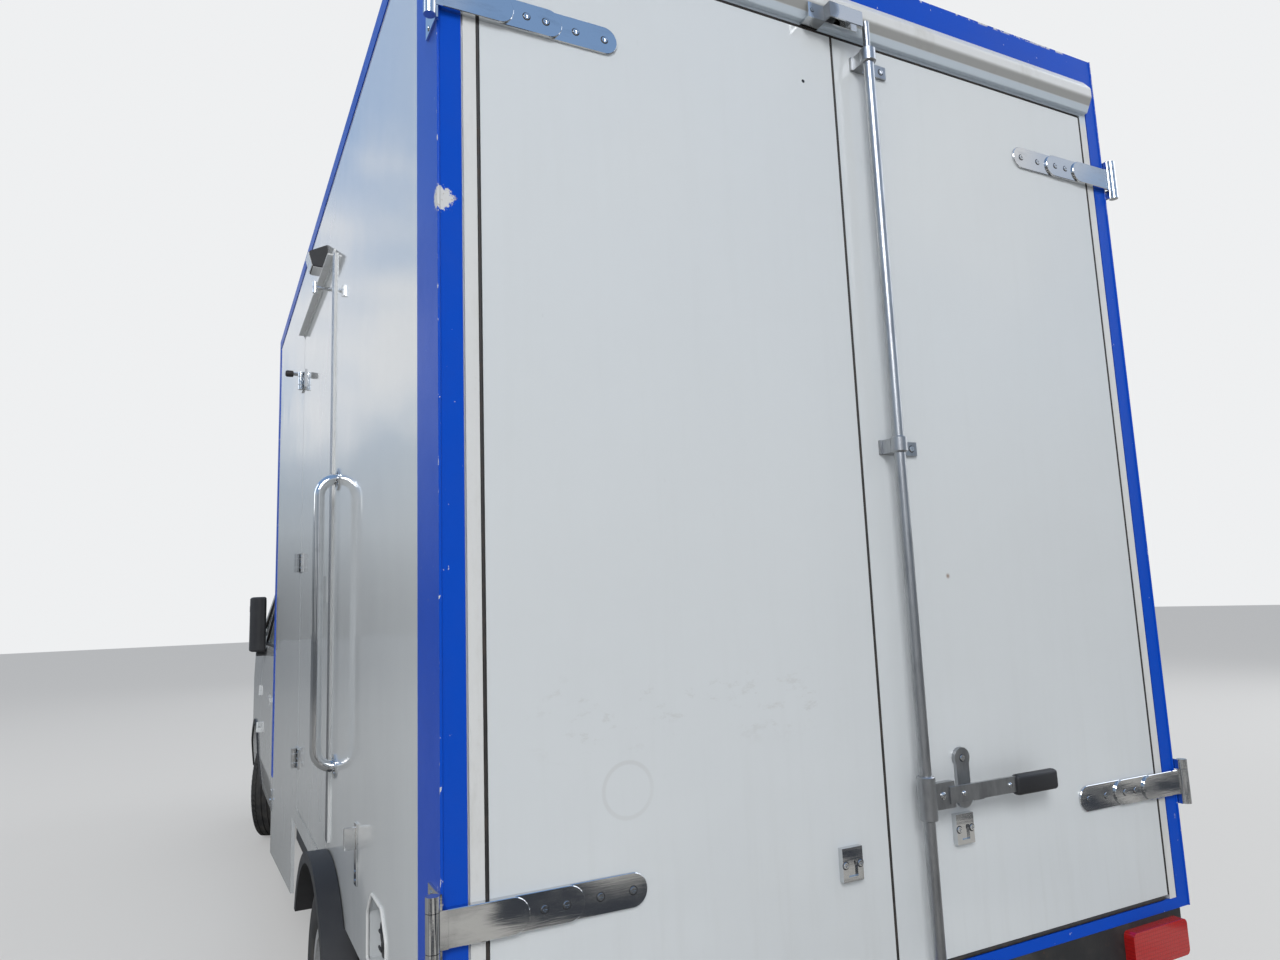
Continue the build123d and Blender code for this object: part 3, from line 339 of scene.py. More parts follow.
def bright_steel(f):
    """Polished stainless steel with wiping marks, water spots, fine scratches and painted shade on the keeper
    under the drip rail.
    """
    smear = f.noise(24.0, 4.0, 0.6, f.scaled(1.0, 0.35, 1.0))
    lines = f.noise(220.0, 3.0, 0.6, f.scaled(1.0, 0.06, 1.0))
    drops = f.step(f.cells(130.0), 0.0, 0.18)
    color = f.mix((0.66, 0.67, 0.68), (0.42, 0.43, 0.44), f.step(smear, 0.5, 0.8) * 0.5)
    # Painted shade: a darker, duller patch on the keeper where it sits under the drip rail.
    grime_and_shade = f.near(at(-0.037, 0.064, 2.96), 0.045)
    color = f.mix(color, (0.2, 0.21, 0.22), grime_and_shade * 0.8)
    rough = 0.03 + f.step(smear, 0.4, 0.8) * 0.08 + lines * 0.03
    rough = rough + (1 - drops) * 0.08 + grime_and_shade * 0.45
    return f.done(color, rough, 1.0, f.bump(lines, 0.0002, 0.12))


def dull_steel(f):
    """Worn zinc-grey steel on the lock bar, darker where hands rub it."""
    smear = f.noise(30.0, 5.0, 0.65, f.scaled(1.0, 1.0, 0.25))
    rust = f.patches(0.66, 0.76, 75.0, 6.0, 0.7)
    color = f.mix((0.46, 0.47, 0.48), (0.24, 0.24, 0.25), f.step(smear, 0.4, 0.75) * 0.7)
    color = f.mix(color, (0.16, 0.075, 0.035), rust * 0.5)
    return f.done(color, 0.26 + smear * 0.16 + rust * 0.3, 1.0 - rust * 0.7, f.bump(smear, 0.0003, 0.3))


def seal_rubber(f):
    """Aged black rubber with a brown bloom."""
    bloom = f.patches(0.4, 0.75, 40.0, 5.0, 0.65)
    color = f.mix((0.018, 0.016, 0.015), (0.06, 0.045, 0.036), bloom * 0.7)
    return f.done(color, 0.58 + bloom * 0.25, 0.0, f.bump(f.noise(350.0, 3.0, 0.6), 0.0003, 0.5))


def grained_plastic(f, base, fade, scale=700.0):
    """Moulded plastic with a fine grain and a grey, sun-faded bloom."""
    grain = f.cells(scale)
    worn = f.patches(0.35, 0.8, 5.0, 5.0, 0.65)
    color = f.mix(base, fade, worn * 0.55)
    return f.done(color, 0.46 + worn * 0.18 + grain * 0.1, 0.0, f.bump(grain, 0.0004, 0.45))


def black_plastic(f):
    return grained_plastic(f, (0.016, 0.016, 0.018), (0.052, 0.052, 0.053))


def inner_plastic(f):
    return grained_plastic(f, (0.03, 0.031, 0.034), (0.055, 0.055, 0.058), 900.0)


def cab_paint(f):
    """White gloss paint under clear coat with a little road dirt low down."""
    _, _, z = f.axes()
    low = 1 - f.step(z, 0.35, 0.95)
    dirt = f.patches(0.42, 0.8, 4.0, 6.0, 0.65, f.scaled(1.0, 1.0, 0.6)) * low
    color = f.mix(bpy.context.scene.truck_cab.paint, (0.26, 0.24, 0.21), dirt * 0.4)
    return f.done(color, 0.26 + dirt * 0.3, 0.0, f.bump(f.noise(500.0, 2.0, 0.5), 0.0001, 0.2),
                  Coat_Weight=0.9, Coat_Roughness=0.04)


def window_glass(f):
    """Tinted safety glass with a trace of dust."""
    dust = f.patches(0.42, 0.85, 9.0, 6.0, 0.7)
    color = f.mix((0.2, 0.26, 0.25), (0.3, 0.31, 0.3), dust * 0.3)
    return f.done(color, 0.02 + dust * 0.08, 0.0, None, Alpha=0.34 + dust * 0.05, Specular_IOR_Level=0.9)


def clear_lens(f):
    """Clear moulded lens with fine upright ribs."""
    ribs = f.waves(26.0, "Y")
    return f.done((0.8, 0.83, 0.85), 0.05, 0.0, f.bump(ribs, 0.0006, 0.25), Alpha=0.42)


def lens(f, base):
    """Moulded lamp lens with small square cells."""
    _, y, z = f.axes()
    across, along = (f.step(abs((way * 110.0) % 1.0 - 0.5), 0.38, 0.5) for way in (y, z))
    cell = across.most(along)
    color = f.mix(base, tuple(c * 0.45 for c in base), cell * 0.6)
    return f.done(color, 0.1, 0.0, f.bump(cell, 0.0006, 0.5), Coat_Weight=0.6)


def red_lens(f):
    return lens(f, (0.42, 0.01, 0.01))


def amber_lens(f):
    return lens(f, (0.62, 0.19, 0.01))


def white_lens(f):
    return lens(f, (0.7, 0.71, 0.72))


def chassis_black(f):
    """Black chassis paint with dust on it and rust at the edges."""
    dust = f.patches(0.42, 0.78, 7.0, 6.0, 0.68)
    rust = f.patches(0.6, 0.74, 26.0, 7.0, 0.75)
    color = f.mix((0.02, 0.02, 0.021), (0.105, 0.092, 0.076), dust * 0.6)
    color = f.mix(color, (0.13, 0.055, 0.028), rust * 0.7)
    return f.done(color, 0.5 + dust * 0.3, 0.0, f.bump(f.noise(90.0, 5.0, 0.7), 0.0008, 0.5))


def floor_ply(f):
    """Brown coated plywood with a hexagonal grip pattern and wheel scuffs."""
    cell = f.step(f.cells(95.0, "DISTANCE_TO_EDGE"), 0.02, 0.09)
    scuff = f.patches(0.46, 0.7, 3.5, 7.0, 0.7, f.scaled(1.0, 5.0, 1.0))
    color = f.mix((0.06, 0.034, 0.02), (0.17, 0.14, 0.11), scuff * 0.5 + (1 - cell) * 0.18)
    return f.done(color, 0.42 + scuff * 0.2, 0.0, f.bump(cell, 0.0006, 0.6))


def engine_iron(f):
    """Cast iron with rust on it."""
    rust = f.patches(0.5, 0.72, 30.0, 7.0, 0.72)
    color = f.mix((0.085, 0.086, 0.088), (0.15, 0.085, 0.05), rust * 0.6)
    return f.done(color, 0.62, 0.6, f.bump(f.noise(130.0, 6.0, 0.7), 0.0016, 0.7))


def exhaust_steel(f):
    """Heat-browned steel with rust on it."""
    heat = f.patches(0.4, 0.75, 6.0, 4.0, 0.6)
    rust = f.patches(0.52, 0.7, 45.0, 6.0, 0.74)
    color = f.mix((0.36, 0.34, 0.31), (0.2, 0.155, 0.12), heat)
    color = f.mix(color, (0.16, 0.07, 0.032), rust * 0.8)
    return f.done(color, 0.42 + rust * 0.4, 1.0 - rust * 0.8, f.bump(f.noise(120.0, 5.0, 0.7), 0.0006, 0.5))


def tyre_rubber(f):
    """Road rubber, dusty on the flanks and grey-brown where it meets the road."""
    dust = f.patches(0.38, 0.75, 11.0, 6.0, 0.68)
    color = f.mix((0.021, 0.021, 0.022), (0.085, 0.078, 0.068), dust * 0.55)
    return f.done(color, 0.72 + dust * 0.15, 0.0, f.bump(f.noise(260.0, 4.0, 0.65), 0.0005, 0.5))


def rim_silver(f):
    """Silver wheel paint with brake dust and rust specks."""
    dust = f.patches(0.36, 0.74, 16.0, 6.0, 0.68)
    rust = f.patches(0.64, 0.72, 70.0, 6.0, 0.72)
    color = f.mix(bpy.context.scene.truck_wheels.rim, (0.15, 0.125, 0.1), dust * 0.45)
    color = f.mix(color, (0.16, 0.07, 0.035), rust * 0.8)
    return f.done(color, 0.36 + dust * 0.25, 0.35, f.bump(f.noise(160.0, 4.0, 0.6), 0.0004, 0.3))


def seat_cloth(f):
    """Woven seat cloth."""
    warp = f.waves(240.0, "Y")
    weft = f.waves(240.0, "DIAGONAL")
    color = f.mix(bpy.context.scene.truck_cab.cloth, (0.085, 0.088, 0.096), warp * weft)
    return f.done(color, 0.85, 0.0, f.bump(warp * weft, 0.0006, 0.6), Sheen_Weight=0.3)


def mirror_glass(f):
    """Silvered glass with a faint haze."""
    return f.done((0.8, 0.82, 0.83), 0.03 + f.noise(6.0) * 0.03, 1.0)


def silver_bowl(f):
    """Bright vacuum-coated lamp bowl."""
    return f.done((0.82, 0.83, 0.84), 0.1 + f.noise(40.0) * 0.06, 1.0)


def dark_screen(f):
    """Dark display glass with finger marks."""
    marks = f.patches(0.55, 0.75, 60.0, 4.0, 0.6)
    return f.done(f.mix((0.008, 0.008, 0.01), (0.02, 0.021, 0.023), marks), 0.06 + marks * 0.12)


def seat_thread(f):
    """Twisted sewing thread, a little lighter than the cloth."""
    twist = f.waves(420.0, "DIAGONAL")
    return f.done(f.mix((0.075, 0.078, 0.084), (0.15, 0.155, 0.165), twist), 0.8, 0.0,
                  f.bump(twist, 0.0004, 0.6))


def plate_white(f):
    """Blank white plate with dust low down."""
    dust = f.patches(0.4, 0.8, 30.0, 5.0, 0.65)
    return f.done(f.mix((0.62, 0.62, 0.6), (0.35, 0.32, 0.27), dust * 0.4), 0.35 + dust * 0.2)


def bright_alloy(f):
    """Brushed aluminium strip."""
    lines = f.noise(260.0, 3.0, 0.6, f.scaled(0.05, 1.0, 1.0))
    return f.done(f.mix((0.52, 0.53, 0.54), (0.36, 0.37, 0.38), lines), 0.3 + lines * 0.15, 1.0)


recipes = {recipe.__name__: recipe for recipe in (
    body_panel, rear_door, rail_blue, jamb_white, bright_steel, dull_steel, seal_rubber, black_plastic,
    inner_plastic, cab_paint, window_glass, clear_lens, red_lens, amber_lens, white_lens, chassis_black,
    floor_ply, engine_iron, exhaust_steel, tyre_rubber, dark_screen, seat_thread, silver_bowl, plate_white,
    rim_silver, seat_cloth, mirror_glass, bright_alloy)}

# Which finish each piece of the frame takes
node_finishes = {
    "body_panel": ["left_wall", "right_wall", "front_wall", "roof_panel", "side_door", "side_skirts",
                   "roof_unit"],
    "rear_door": ["rear_door_left", "rear_door_right"],
    "rail_blue": ["rear_frame", "edge_rails"],
    "jamb_white": ["door_trim"],
    "bright_steel": ["left_door_hinges", "right_door_hinges", "side_door_hinges", "door_fittings",
                     "grab_handle"],
    "dull_steel": ["lock_bar"],
    "seal_rubber": ["door_seals"],
    "black_plastic": ["fender_flares", "mirror_left", "mirror_right", "grille", "front_bumper",
                      "fascia_grilles", "filler_recess", "fuel_tank", "side_lamp"],
    "inner_plastic": ["dashboard", "steering_wheel", "cab_floor"],
    "cab_paint": ["cab_shell", "hood", "cab_door_left", "cab_door_right"],
    "window_glass": ["cab_glass", "door_glass_left", "door_glass_right"],
    "clear_lens": ["headlamps"],
    "red_lens": ["lamps"],
    "chassis_black": ["frame_rails", "leaf_springs", "rear_axle", "front_suspension", "knuckle_left",
                      "knuckle_right", "rear_bumper"],
    "floor_ply": ["load_floor"],
    "engine_iron": ["engine_block"],
    "exhaust_steel": ["exhaust"],
    "tyre_rubber": ["front_tyre_left", "front_tyre_right", "rear_tyres_left", "rear_tyres_right"],
    "rim_silver": ["front_rim_left", "front_rim_right", "rear_rims_left", "rear_rims_right"],
    "seat_cloth": ["seats"],
}


# Mesh building


def turns(count):
    """Evenly spread angles of a full turn."""
    return [2 * math.pi * i / count for i in range(count)]


class Form:
    """A mesh in the making."""

    def __init__(self):
        self.work = bmesh.new()

    def box(self, low, high, bevel=0.0, steps=2):
        """A box between two opposite corners, its edges rounded."""
        low, high = Vector(low), Vector(high)
        low, high = (Vector(map(min, low, high)), Vector(map(max, low, high)))
        size = high - low
        spot = Matrix.Translation((low + high) / 2) @ Matrix.Diagonal((*size, 1.0))
        made = bmesh.ops.create_cube(self.work, size=1.0, matrix=spot)
        if bevel:
            edges = list({edge for vert in made["verts"] for edge in vert.link_edges})
            bmesh.ops.bevel(self.work, geom=edges, offset=min(bevel, min(size) * 0.49), segments=steps,
                            profile=0.5, affect="EDGES", clamp_overlap=True)
        return self

    def bridge(self, rings, closed=False):
        """Faces between each ring of corners and the next; a ring of one corner is a tip."""
        for one, two in list(zip(rings, rings[1:])) + ([(rings[-1], rings[0])] if closed else []):
            count = max(len(one), len(two))
            for i in range(count):
                j = (i + 1) % count
                corners = [one[i % len(one)], one[j % len(one)], two[j % len(two)], two[i % len(two)]]
                corners = list(dict.fromkeys(corners))
                if len(corners) > 2:
                    self.work.faces.new(corners)

    def lathe(self, profile, centre, axis, steps=32, closed=False):
        """A profile of (along, radius) turned about an axis through a point."""
        axis = Vector(axis).normalized()
        side = axis.orthogonal().normalized()
        third = axis.cross(side)
        rings = []
        for along, radius in profile:
            middle = Vector(centre) + axis * along
            spots = [middle + (side * math.cos(a) + third * math.sin(a)) * radius
                     for a in turns(steps)] if radius else [middle]
            rings.append([self.work.verts.new(spot) for spot in spots])
        self.bridge(rings, closed)
        return self

    def tube(self, points, radius, sides=10, closed=False, flat=1.0, up=None):
        """A round or flattened bar along a row of points."""
        points = [Vector(p) for p in points]
        count = len(points)
        rings = []
        normal = None
        for i, point in enumerate(points):
            before = points[i - 1] if i or closed else points[0]
            after = points[(i + 1) % count] if i < count - 1 or closed else points[-1]
            way = (after - before).normalized()
            if up is not None:
                normal = Vector(up)
            normal = (normal - way * way.dot(normal) if normal else way.orthogonal()).normalized()
            third = way.cross(normal)
            rings.append([self.work.verts.new(point + normal * (math.cos(a) * radius * flat)
                                              + third * (math.sin(a) * radius))
                          for a in turns(sides)])
        self.bridge(rings, closed)
        if not closed:
            self.work.faces.new(rings[0][::-1])
            self.work.faces.new(rings[-1])
        return self

    def slab(self, rim, push):
        """A flat outline pushed through a distance."""
        push = Vector(push)
        near = [self.work.verts.new(Vector(p)) for p in rim]
        far = [self.work.verts.new(Vector(p) + push) for p in rim]
        self.work.faces.new(near)
        self.work.faces.new(list(reversed(far)))
        for i in range(len(near)):
            j = (i + 1) % len(near)
            self.work.faces.new((near[j], near[i], far[i], far[j]))
        return self

    def take(self, mesh):
        """Joins a ready mesh to this one."""
        self.work.from_mesh(mesh)
        return self

    def mesh(self, name):
        """The finished mesh; the form can't be used after it."""
        bmesh.ops.recalc_face_normals(self.work, faces=self.work.faces)
        made = bpy.data.meshes.new(name)
        self.work.to_mesh(made)
        self.work.free()
        return made


def rounded(points, radius, steps=5, closed=True):
    """A row of points with each corner turned in a small arc."""
    points = [Vector(p) for p in points]
    made = []
    count = len(points)
    for i, point in enumerate(points):
        if not closed and i in (0, count - 1):
            made.append(point)
            continue
        back = points[i - 1] - point
        ahead = points[(i + 1) % count] - point
        reach = min(radius, back.length * 0.45, ahead.length * 0.45)
        start, end = point + back.normalized() * reach, point + ahead.normalized() * reach
        for k in range(steps + 1):
            t = k / steps
            made.append(start * (1 - t) ** 2 + point * 2 * t * (1 - t) + end * t ** 2)
    return made


def spread(points, gap, closed=True):
    """The same row with points no further apart than gap."""
    made = []
    count = len(points)
    for i in range(count if closed else count - 1):
        one, two = points[i], points[(i + 1) % count]
        parts = max(1, math.ceil((two - one).length / gap))
        made += [one.lerp(two, k / parts) for k in range(parts)]
    return made if closed else made + [points[-1]]


def settle(name, mesh, look, body, sharp=38.0):
    """A finished piece of a mesh: its finish, smooth faces and the body that carries it."""
    mesh.materials.clear()
    mesh.materials.append(finish(look))
    mesh.polygons.foreach_set("use_smooth", [True] * len(mesh.polygons))
    mesh.set_sharp_from_angle(angle=math.radians(sharp))
    piece = bpy.data.objects.new(name, mesh)
    bpy.context.scene.collection.objects.link(piece)
    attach(piece, body)
    return piece


def make(name, form, look, body="chassis", sharp=38.0):
    """The same of a form."""
    return settle(name, form.mesh(name), look, body, sharp)


skins = {}


def skin(node, start, way):
    """Where a line from a point meets a piece of the frame, or None."""
    if node not in skins:
        work = bmesh.new()
        work.from_mesh(nodes[node].data)
        skins[node] = BVHTree.FromBMesh(work)
        work.free()
    return skins[node].ray_cast(Vector(start), Vector(way))[0]


def evaluated(holder):
    """A plain mesh of an object with its modifiers worked out."""
    ready = holder.evaluated_get(bpy.context.evaluated_depsgraph_get())
    return bpy.data.meshes.new_from_object(ready)


class Graph(Board):
    """One Geometry Nodes tree with named inputs."""

    def __init__(self, name, inputs):
        self.tree = bpy.data.node_groups.new(name, "GeometryNodeTree")
        face = self.tree.interface
        face.new_socket("Geometry", in_out="INPUT", socket_type="NodeSocketGeometry")
        self.ids = {}
        for label, kind in {**inputs, "Finish": "NodeSocketMaterial"}.items():
            self.ids[label] = face.new_socket(label, in_out="INPUT", socket_type=kind).identifier
        face.new_socket("Geometry", in_out="OUTPUT", socket_type="NodeSocketGeometry")
        self.source = self.tree.nodes.new("NodeGroupInput")

    def given(self, label):
        return Wire(self, self.source.outputs[label])

    def close(self, shape):
        """Turns the copies into one mesh and gives it the finish."""
        real = self.wire("GeometryNodeRealizeInstances", None, {0: shape})
        dressed = self.wire("GeometryNodeSetMaterial", None, {0: real, "Material": self.given("Finish")})
        self.node("NodeGroupOutput", None, {0: dressed})
        return self

    def run(self, name, mesh, look, values):
        """The plain mesh that the tree makes of a start mesh."""
        carrier = bpy.data.objects.new(name + "_start", mesh)
        bpy.context.scene.collection.objects.link(carrier)
        maker = carrier.modifiers.new("maker", "NODES")
        maker.node_group = self.tree
        for label, value in {**values, "Finish": finish(look)}.items():
            maker[self.ids[label]] = value
        made = evaluated(carrier)
        made.name = name
        carrier.modifiers.clear()
        bpy.data.objects.remove(carrier)
        return made


graphs = {}


def graph(name):
    """The named tree, built on first use."""
    if name not in graphs:
        graphs[name] = {"screws": screw_graph, "ring": ring_graph, "row": row_graph}[name]()
    return graphs[name]


def screw_graph():
    """Countersunk screws with a crossed slot, one on each point, that face the way it says."""
    g = Graph("truck_screws", {"Radius": "NodeSocketFloat", "Depth": "NodeSocketFloat"})
    radius, depth = g.given("Radius"), g.given("Depth")
    rim = g.wire("GeometryNodeMeshCone", None,
                 {"Vertices": 20, "Radius Top": radius * 0.86, "Radius Bottom": radius, "Depth": depth})
    slots = g.node("GeometryNodeMeshBoolean", {"operation": "DIFFERENCE", "solver": "EXACT"}, {0: rim})
    lift = g.wire("ShaderNodeCombineXYZ", None, {2: depth * 1.1})
    for wide, tall in ((1.15, 0.24), (0.24, 1.15)):
        size = g.wire("ShaderNodeCombineXYZ", None, {0: radius * wide, 1: radius * tall, 2: depth * 1.4})
        arm = g.wire("GeometryNodeMeshCube", None, {"Size": size})
        arm = g.wire("GeometryNodeTransform", None, {0: arm, "Translation": lift})
        g.tree.links.new(arm.socket, slots.inputs[1])
    facing = g.wire("GeometryNodeInputNamedAttribute", {"data_type": "FLOAT_VECTOR"}, {"Name": "facing"})
    turn = g.wire("FunctionNodeAlignRotationToVector", {"axis": "Z"}, {"Vector": facing})
    every = g.wire("GeometryNodeMeshToPoints", None, {0: g.given("Geometry")})
    copies = g.wire("GeometryNodeInstanceOnPoints", None,
                    {"Points": every, "Instance": Wire(g, slots.outputs[0]), "Rotation": turn})
    return g.close(copies)


def ring_graph():
    """Copies of a shape, evenly turned about the Y axis."""
    g = Graph("truck_ring", {"Count": "NodeSocketInt"})
    count = g.given("Count")
    dots = g.wire("GeometryNodePoints", None, {"Count": count})
    index = g.wire("GeometryNodeInputIndex")
    angle = index * (2 * math.pi) / count
    turn = g.wire("FunctionNodeEulerToRotation", None, {0: g.wire("ShaderNodeCombineXYZ", None, {1: angle})})
    copies = g.wire("GeometryNodeInstanceOnPoints", None,
                    {"Points": dots, "Instance": g.given("Geometry"), "Rotation": turn})
    return g.close(copies)


def row_graph():
    """Copies of a shape in a straight row."""
    g = Graph("truck_row", {"Count": "NodeSocketInt", "Step": "NodeSocketVector"})
    line = g.wire("GeometryNodeMeshLine", {"mode": "OFFSET"},
                  {"Count": g.given("Count"), "Offset": g.given("Step")})
    dots = g.wire("GeometryNodeMeshToPoints", None, {0: line})
    copies = g.wire("GeometryNodeInstanceOnPoints", None, {"Points": dots, "Instance": g.given("Geometry")})
    return g.close(copies)


def screws(name, spots, look, body, radius=None):
    """Screw heads at places, each with the way it faces, and under each a thin dark disc as a painted shadow
    of the countersink.
    """
    mesh = bpy.data.meshes.new(name + "_spots")
    mesh.from_pydata([spot for spot, way in spots], [], [])
    facing = mesh.attributes.new("facing", "FLOAT_VECTOR", "POINT")
    for i, (spot, way) in enumerate(spots):
        facing.data[i].vector = way
    radius = radius or bpy.context.scene.truck_body.screw
    shadow_ring_points = mesh.copy()
    made = graph("screws").run(name, mesh, look, {"Radius": radius, "Depth": radius * 0.32})
    # Painted shadow: a thin dark disc, wider than the head, stands for the countersink's shade round each
    # screw.
    rim = graph("screws").run(name + "_rims", shadow_ring_points, "black_plastic",
                              {"Radius": radius * 1.22, "Depth": radius * 0.1})
    settle(name + "_rims", rim, "black_plastic", body, 30.0)
    return settle(name, made, look, body, 30.0)


def ring_mesh(name, form, count, look, centre, axis):
    """A shape drawn round the origin's Y axis, copied round a wheel and put on its axle."""
    made = graph("ring").run(name, form.mesh(name + "_one"), look, {"Count": count})
    turn = Vector((0, 1, 0)).rotation_difference(Vector(axis)).to_matrix().to_4x4()
    made.transform(Matrix.Translation(Vector(centre)) @ turn)
    return made


def row_mesh(name, form, count, step, look):
    """A shape copied in a straight row."""
    return graph("row").run(name, form.mesh(name + "_one"), look, {"Count": count, "Step": step})


def make_box(name, low, high, bevel, steps, look, body="chassis", sharp=38.0):
    """A piece that is one box between two corners, each given as at() takes it."""
    return make(name, Form().box(at(*low), at(*high), bevel, steps), look, body, sharp)


class TRUCK_OT_paint(bpy.types.Operator):
    """Gives every piece of the frame its finish."""
    bl_idname = "truck.paint"
    bl_label = "Paint the truck"

    def execute(self, context):
        for name, members in node_finishes.items():
            for member in members:
                piece = nodes[member]
                piece.data.materials.clear()
                piece.data.materials.append(finish(name))
        return {"FINISHED"}


# Sizes in metres, as the frame has them

both_sides = ((1, "left"), (-1, "right"))
straps = (0.974, 2.74)  # heights of the rear doors' strap hinges
guides = (1.866, 2.869)  # heights of the lock bar's guides
side_hinges = (0.93, 1.745, 2.555)  # heights of the side door's hinges
lock_y = -0.064
door_low, door_high = 0.69, 2.93
leaf_edge = 0.943  # the rear doors' outer edges
seam = 0.012  # where the two leaves meet
wheel_radius = 0.35
tyre_half_width = 0.098
ahead = rear_face + 7.5  # a plane in front of the truck, from which rays look back at it


def joint(name):
    """Where a joint is and the way its axis points."""
    found = next(j for j in frame["joints"] if j["name"] == name)
    return Vector(found["pos_m"]), Vector(found["axis"]).normalized()


def wheels():
    """Each tyre node, its tyres' centres, the outward way, the disc's face, the body and the cap's height."""
    rows = []
    for side, name in both_sides:
        spot, axis = joint(f"front_{name}_spin")
        outward = axis * (1 if axis.y * side > 0 else -1)
        rows.append((f"front_tyre_{name}", [spot], outward, 0.066, f"front_wheel_{name}", 0.02))
        low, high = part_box(f"rear_tyres_{name}")
        middle = (low[0] + high[0]) / 2
        spots = [Vector((middle, y, wheel_radius))
                 for y in (low[1] + tyre_half_width, high[1] - tyre_half_width)]
        outward = Vector((0, side, 0))
        spots.sort(key=lambda spot: -spot.y * side)
        rows.append((f"rear_tyres_{name}", spots, outward, -0.1055, f"rear_wheels_{name}", 0.06))
    return rows


# Half of a tyre's section and a shoulder block's outline: along the axle from the middle, and radius
tyre_half = ((0.0, 0.35), (0.0135, 0.35), (0.0145, 0.3425), (0.0215, 0.3425), (0.0225, 0.3498),
             (0.0495, 0.3496), (0.0505, 0.342), (0.08, 0.3405), (0.088, 0.3325), (0.0935, 0.315),
             (0.0955, 0.302), (0.0972, 0.299), (0.0975, 0.292), (0.0978, 0.262), (0.0958, 0.24),
             (0.09, 0.226), (0.073, 0.2035))
lug_side = ((0.0585, 0.34), (0.0585, 0.3494), (0.078, 0.3482), (0.0862, 0.3405), (0.0915, 0.326),
            (0.086, 0.324), (0.079, 0.334))
tread_foot = 0.3415  # the section's points further out than this move with the grooves' depth


class TRUCK_OT_tyres(bpy.types.Operator):
    """Tyres with round grooves and shoulder blocks, in the places of the frame's plain ones."""
    bl_idname = "truck.tyres"
    bl_label = "Tyres with tread"

    def execute(self, context):
        sink = context.scene.truck_wheels.groove / 0.008  # tyre_half has grooves of 8 mm
        section = [(a, wheel_radius - (wheel_radius - r) * sink if r > tread_foot else r)
                   for a, r in tyre_half]
        section = [(-a, r) for a, r in reversed(section[1:])] + section
        for node, spots, outward, _, body, _ in wheels():
            form = Form()
            for spot in spots:
                form.lathe(section, spot, outward, 80, closed=True)
                lug = Form()
                for side, lead in ((1, 0.0), (-1, 0.017)):
                    far = lead + 0.024
                    rim = [(lead - 0.0115 + (a - 0.07) * 0.4, side * a, math.sqrt(r * r - far * far))
                           for a, r in lug_side]
                    lug.slab(rim, (0.023, 0, 0))
                form.take(ring_mesh(body + "_lugs", lug, context.scene.truck_wheels.blocks, "tyre_rubber",
                                    spot, outward))
            piece = make(node + "_tread", form, "tyre_rubber", body, 30.0)
            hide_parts(node)
        return {"FINISHED"}


class TRUCK_OT_hubs(bpy.types.Operator):
    """Wheel nuts and hub caps."""
    bl_idname = "truck.hubs"
    bl_label = "Nuts and hub caps"

    def execute(self, context):
        for _, spots, outward, face, body, cap in wheels():
            seat = spots[0] + outward * face
            profile = [(0, 0), (0, 0.015), (0.003, 0.015), (0.0031, 0.0125), (0.015, 0.0125), (0.0175, 0.009),
                       (0.0175, 0)]
            nut = Form().lathe(profile, (0, 0, 0.086), (0, 1, 0), 6)
            nuts = ring_mesh(body + "_nuts", nut, 6, "dull_steel", seat, outward)
            settle(body + "_nuts", nuts, "dull_steel", body, 25.0)
            hub = Form().lathe([(0, 0.058), (0.006, 0.058), (0.009, 0.05), (cap * 0.6, 0.046),
                                (cap * 0.9, 0.036), (cap, 0.0)], seat, outward, 32)
            make(body + "_hub", hub, "rim_silver", body, 35.0)
        return {"FINISHED"}


class TRUCK_OT_screws(bpy.types.Operator):
    """Countersunk screws in the hinges, guides, keepers and handle feet."""
    bl_idname = "truck.screws"
    bl_label = "Screws"

    def execute(self, context):
        back = Vector((-1, 0, 0))
        for side, body in ((1, "rear_door_left"), (-1, "rear_door_right")):
            spots = [(at(x, side * y, z), back) for z in straps
                     for x, y in ((-0.0103, 0.836), (-0.0103, 0.793), (-0.0053, 0.723), (-0.0053, 0.655))]
            if side < 0:
                spots += [(at(-0.008, lock_y - 0.078, z), back) for z in guides]
                spots += [(at(-0.01, -0.22, z), back) for z in (1.034, 1.124)]
                spots += [(at(-0.014, y, 0.966), back) for y in (-0.1875, -0.2275)]
            else:
                spots += [(at(-0.014, y, 0.94), back) for y in (0.1105, 0.1505)]
            screws(f"screws_{body}", spots, "bright_steel", body)
        for side, name in both_sides:
            out = Vector((0, side, 0))
            spots = [(at(0.046, side * 1.028, z + step), out) for z in straps
                     for step in (-0.046, -0.017, 0.017, 0.046)]
            spots += [(at(0.905, side * 1.025, z), out) for z in (0.826, 0.848)]
            if side > 0:
                spots += [(at(2.494, 1.026, z + step), out) for z in side_hinges
                          for step in (-0.026, 0.0, 0.026)]
                spots += [(at(1.34 + a, 1.025, z + b), out) for z in (1.053, 1.95)
                          for a in (-0.0185, 0.0185) for b in (-0.0185, 0.0185)]
                spots.append((at(-0.0383, 0.097, 2.957), back))
            screws(f"screws_wall_{name}", spots, "bright_steel", "chassis", 0.005)
        spots = [(at(2.412, 1.026, z + step), Vector((0, 1, 0))) for z in side_hinges
                 for step in (-0.026, 0.0, 0.026)]
        screws("screws_side_door", spots, "bright_steel", "side_door", 0.005)
        return {"FINISHED"}


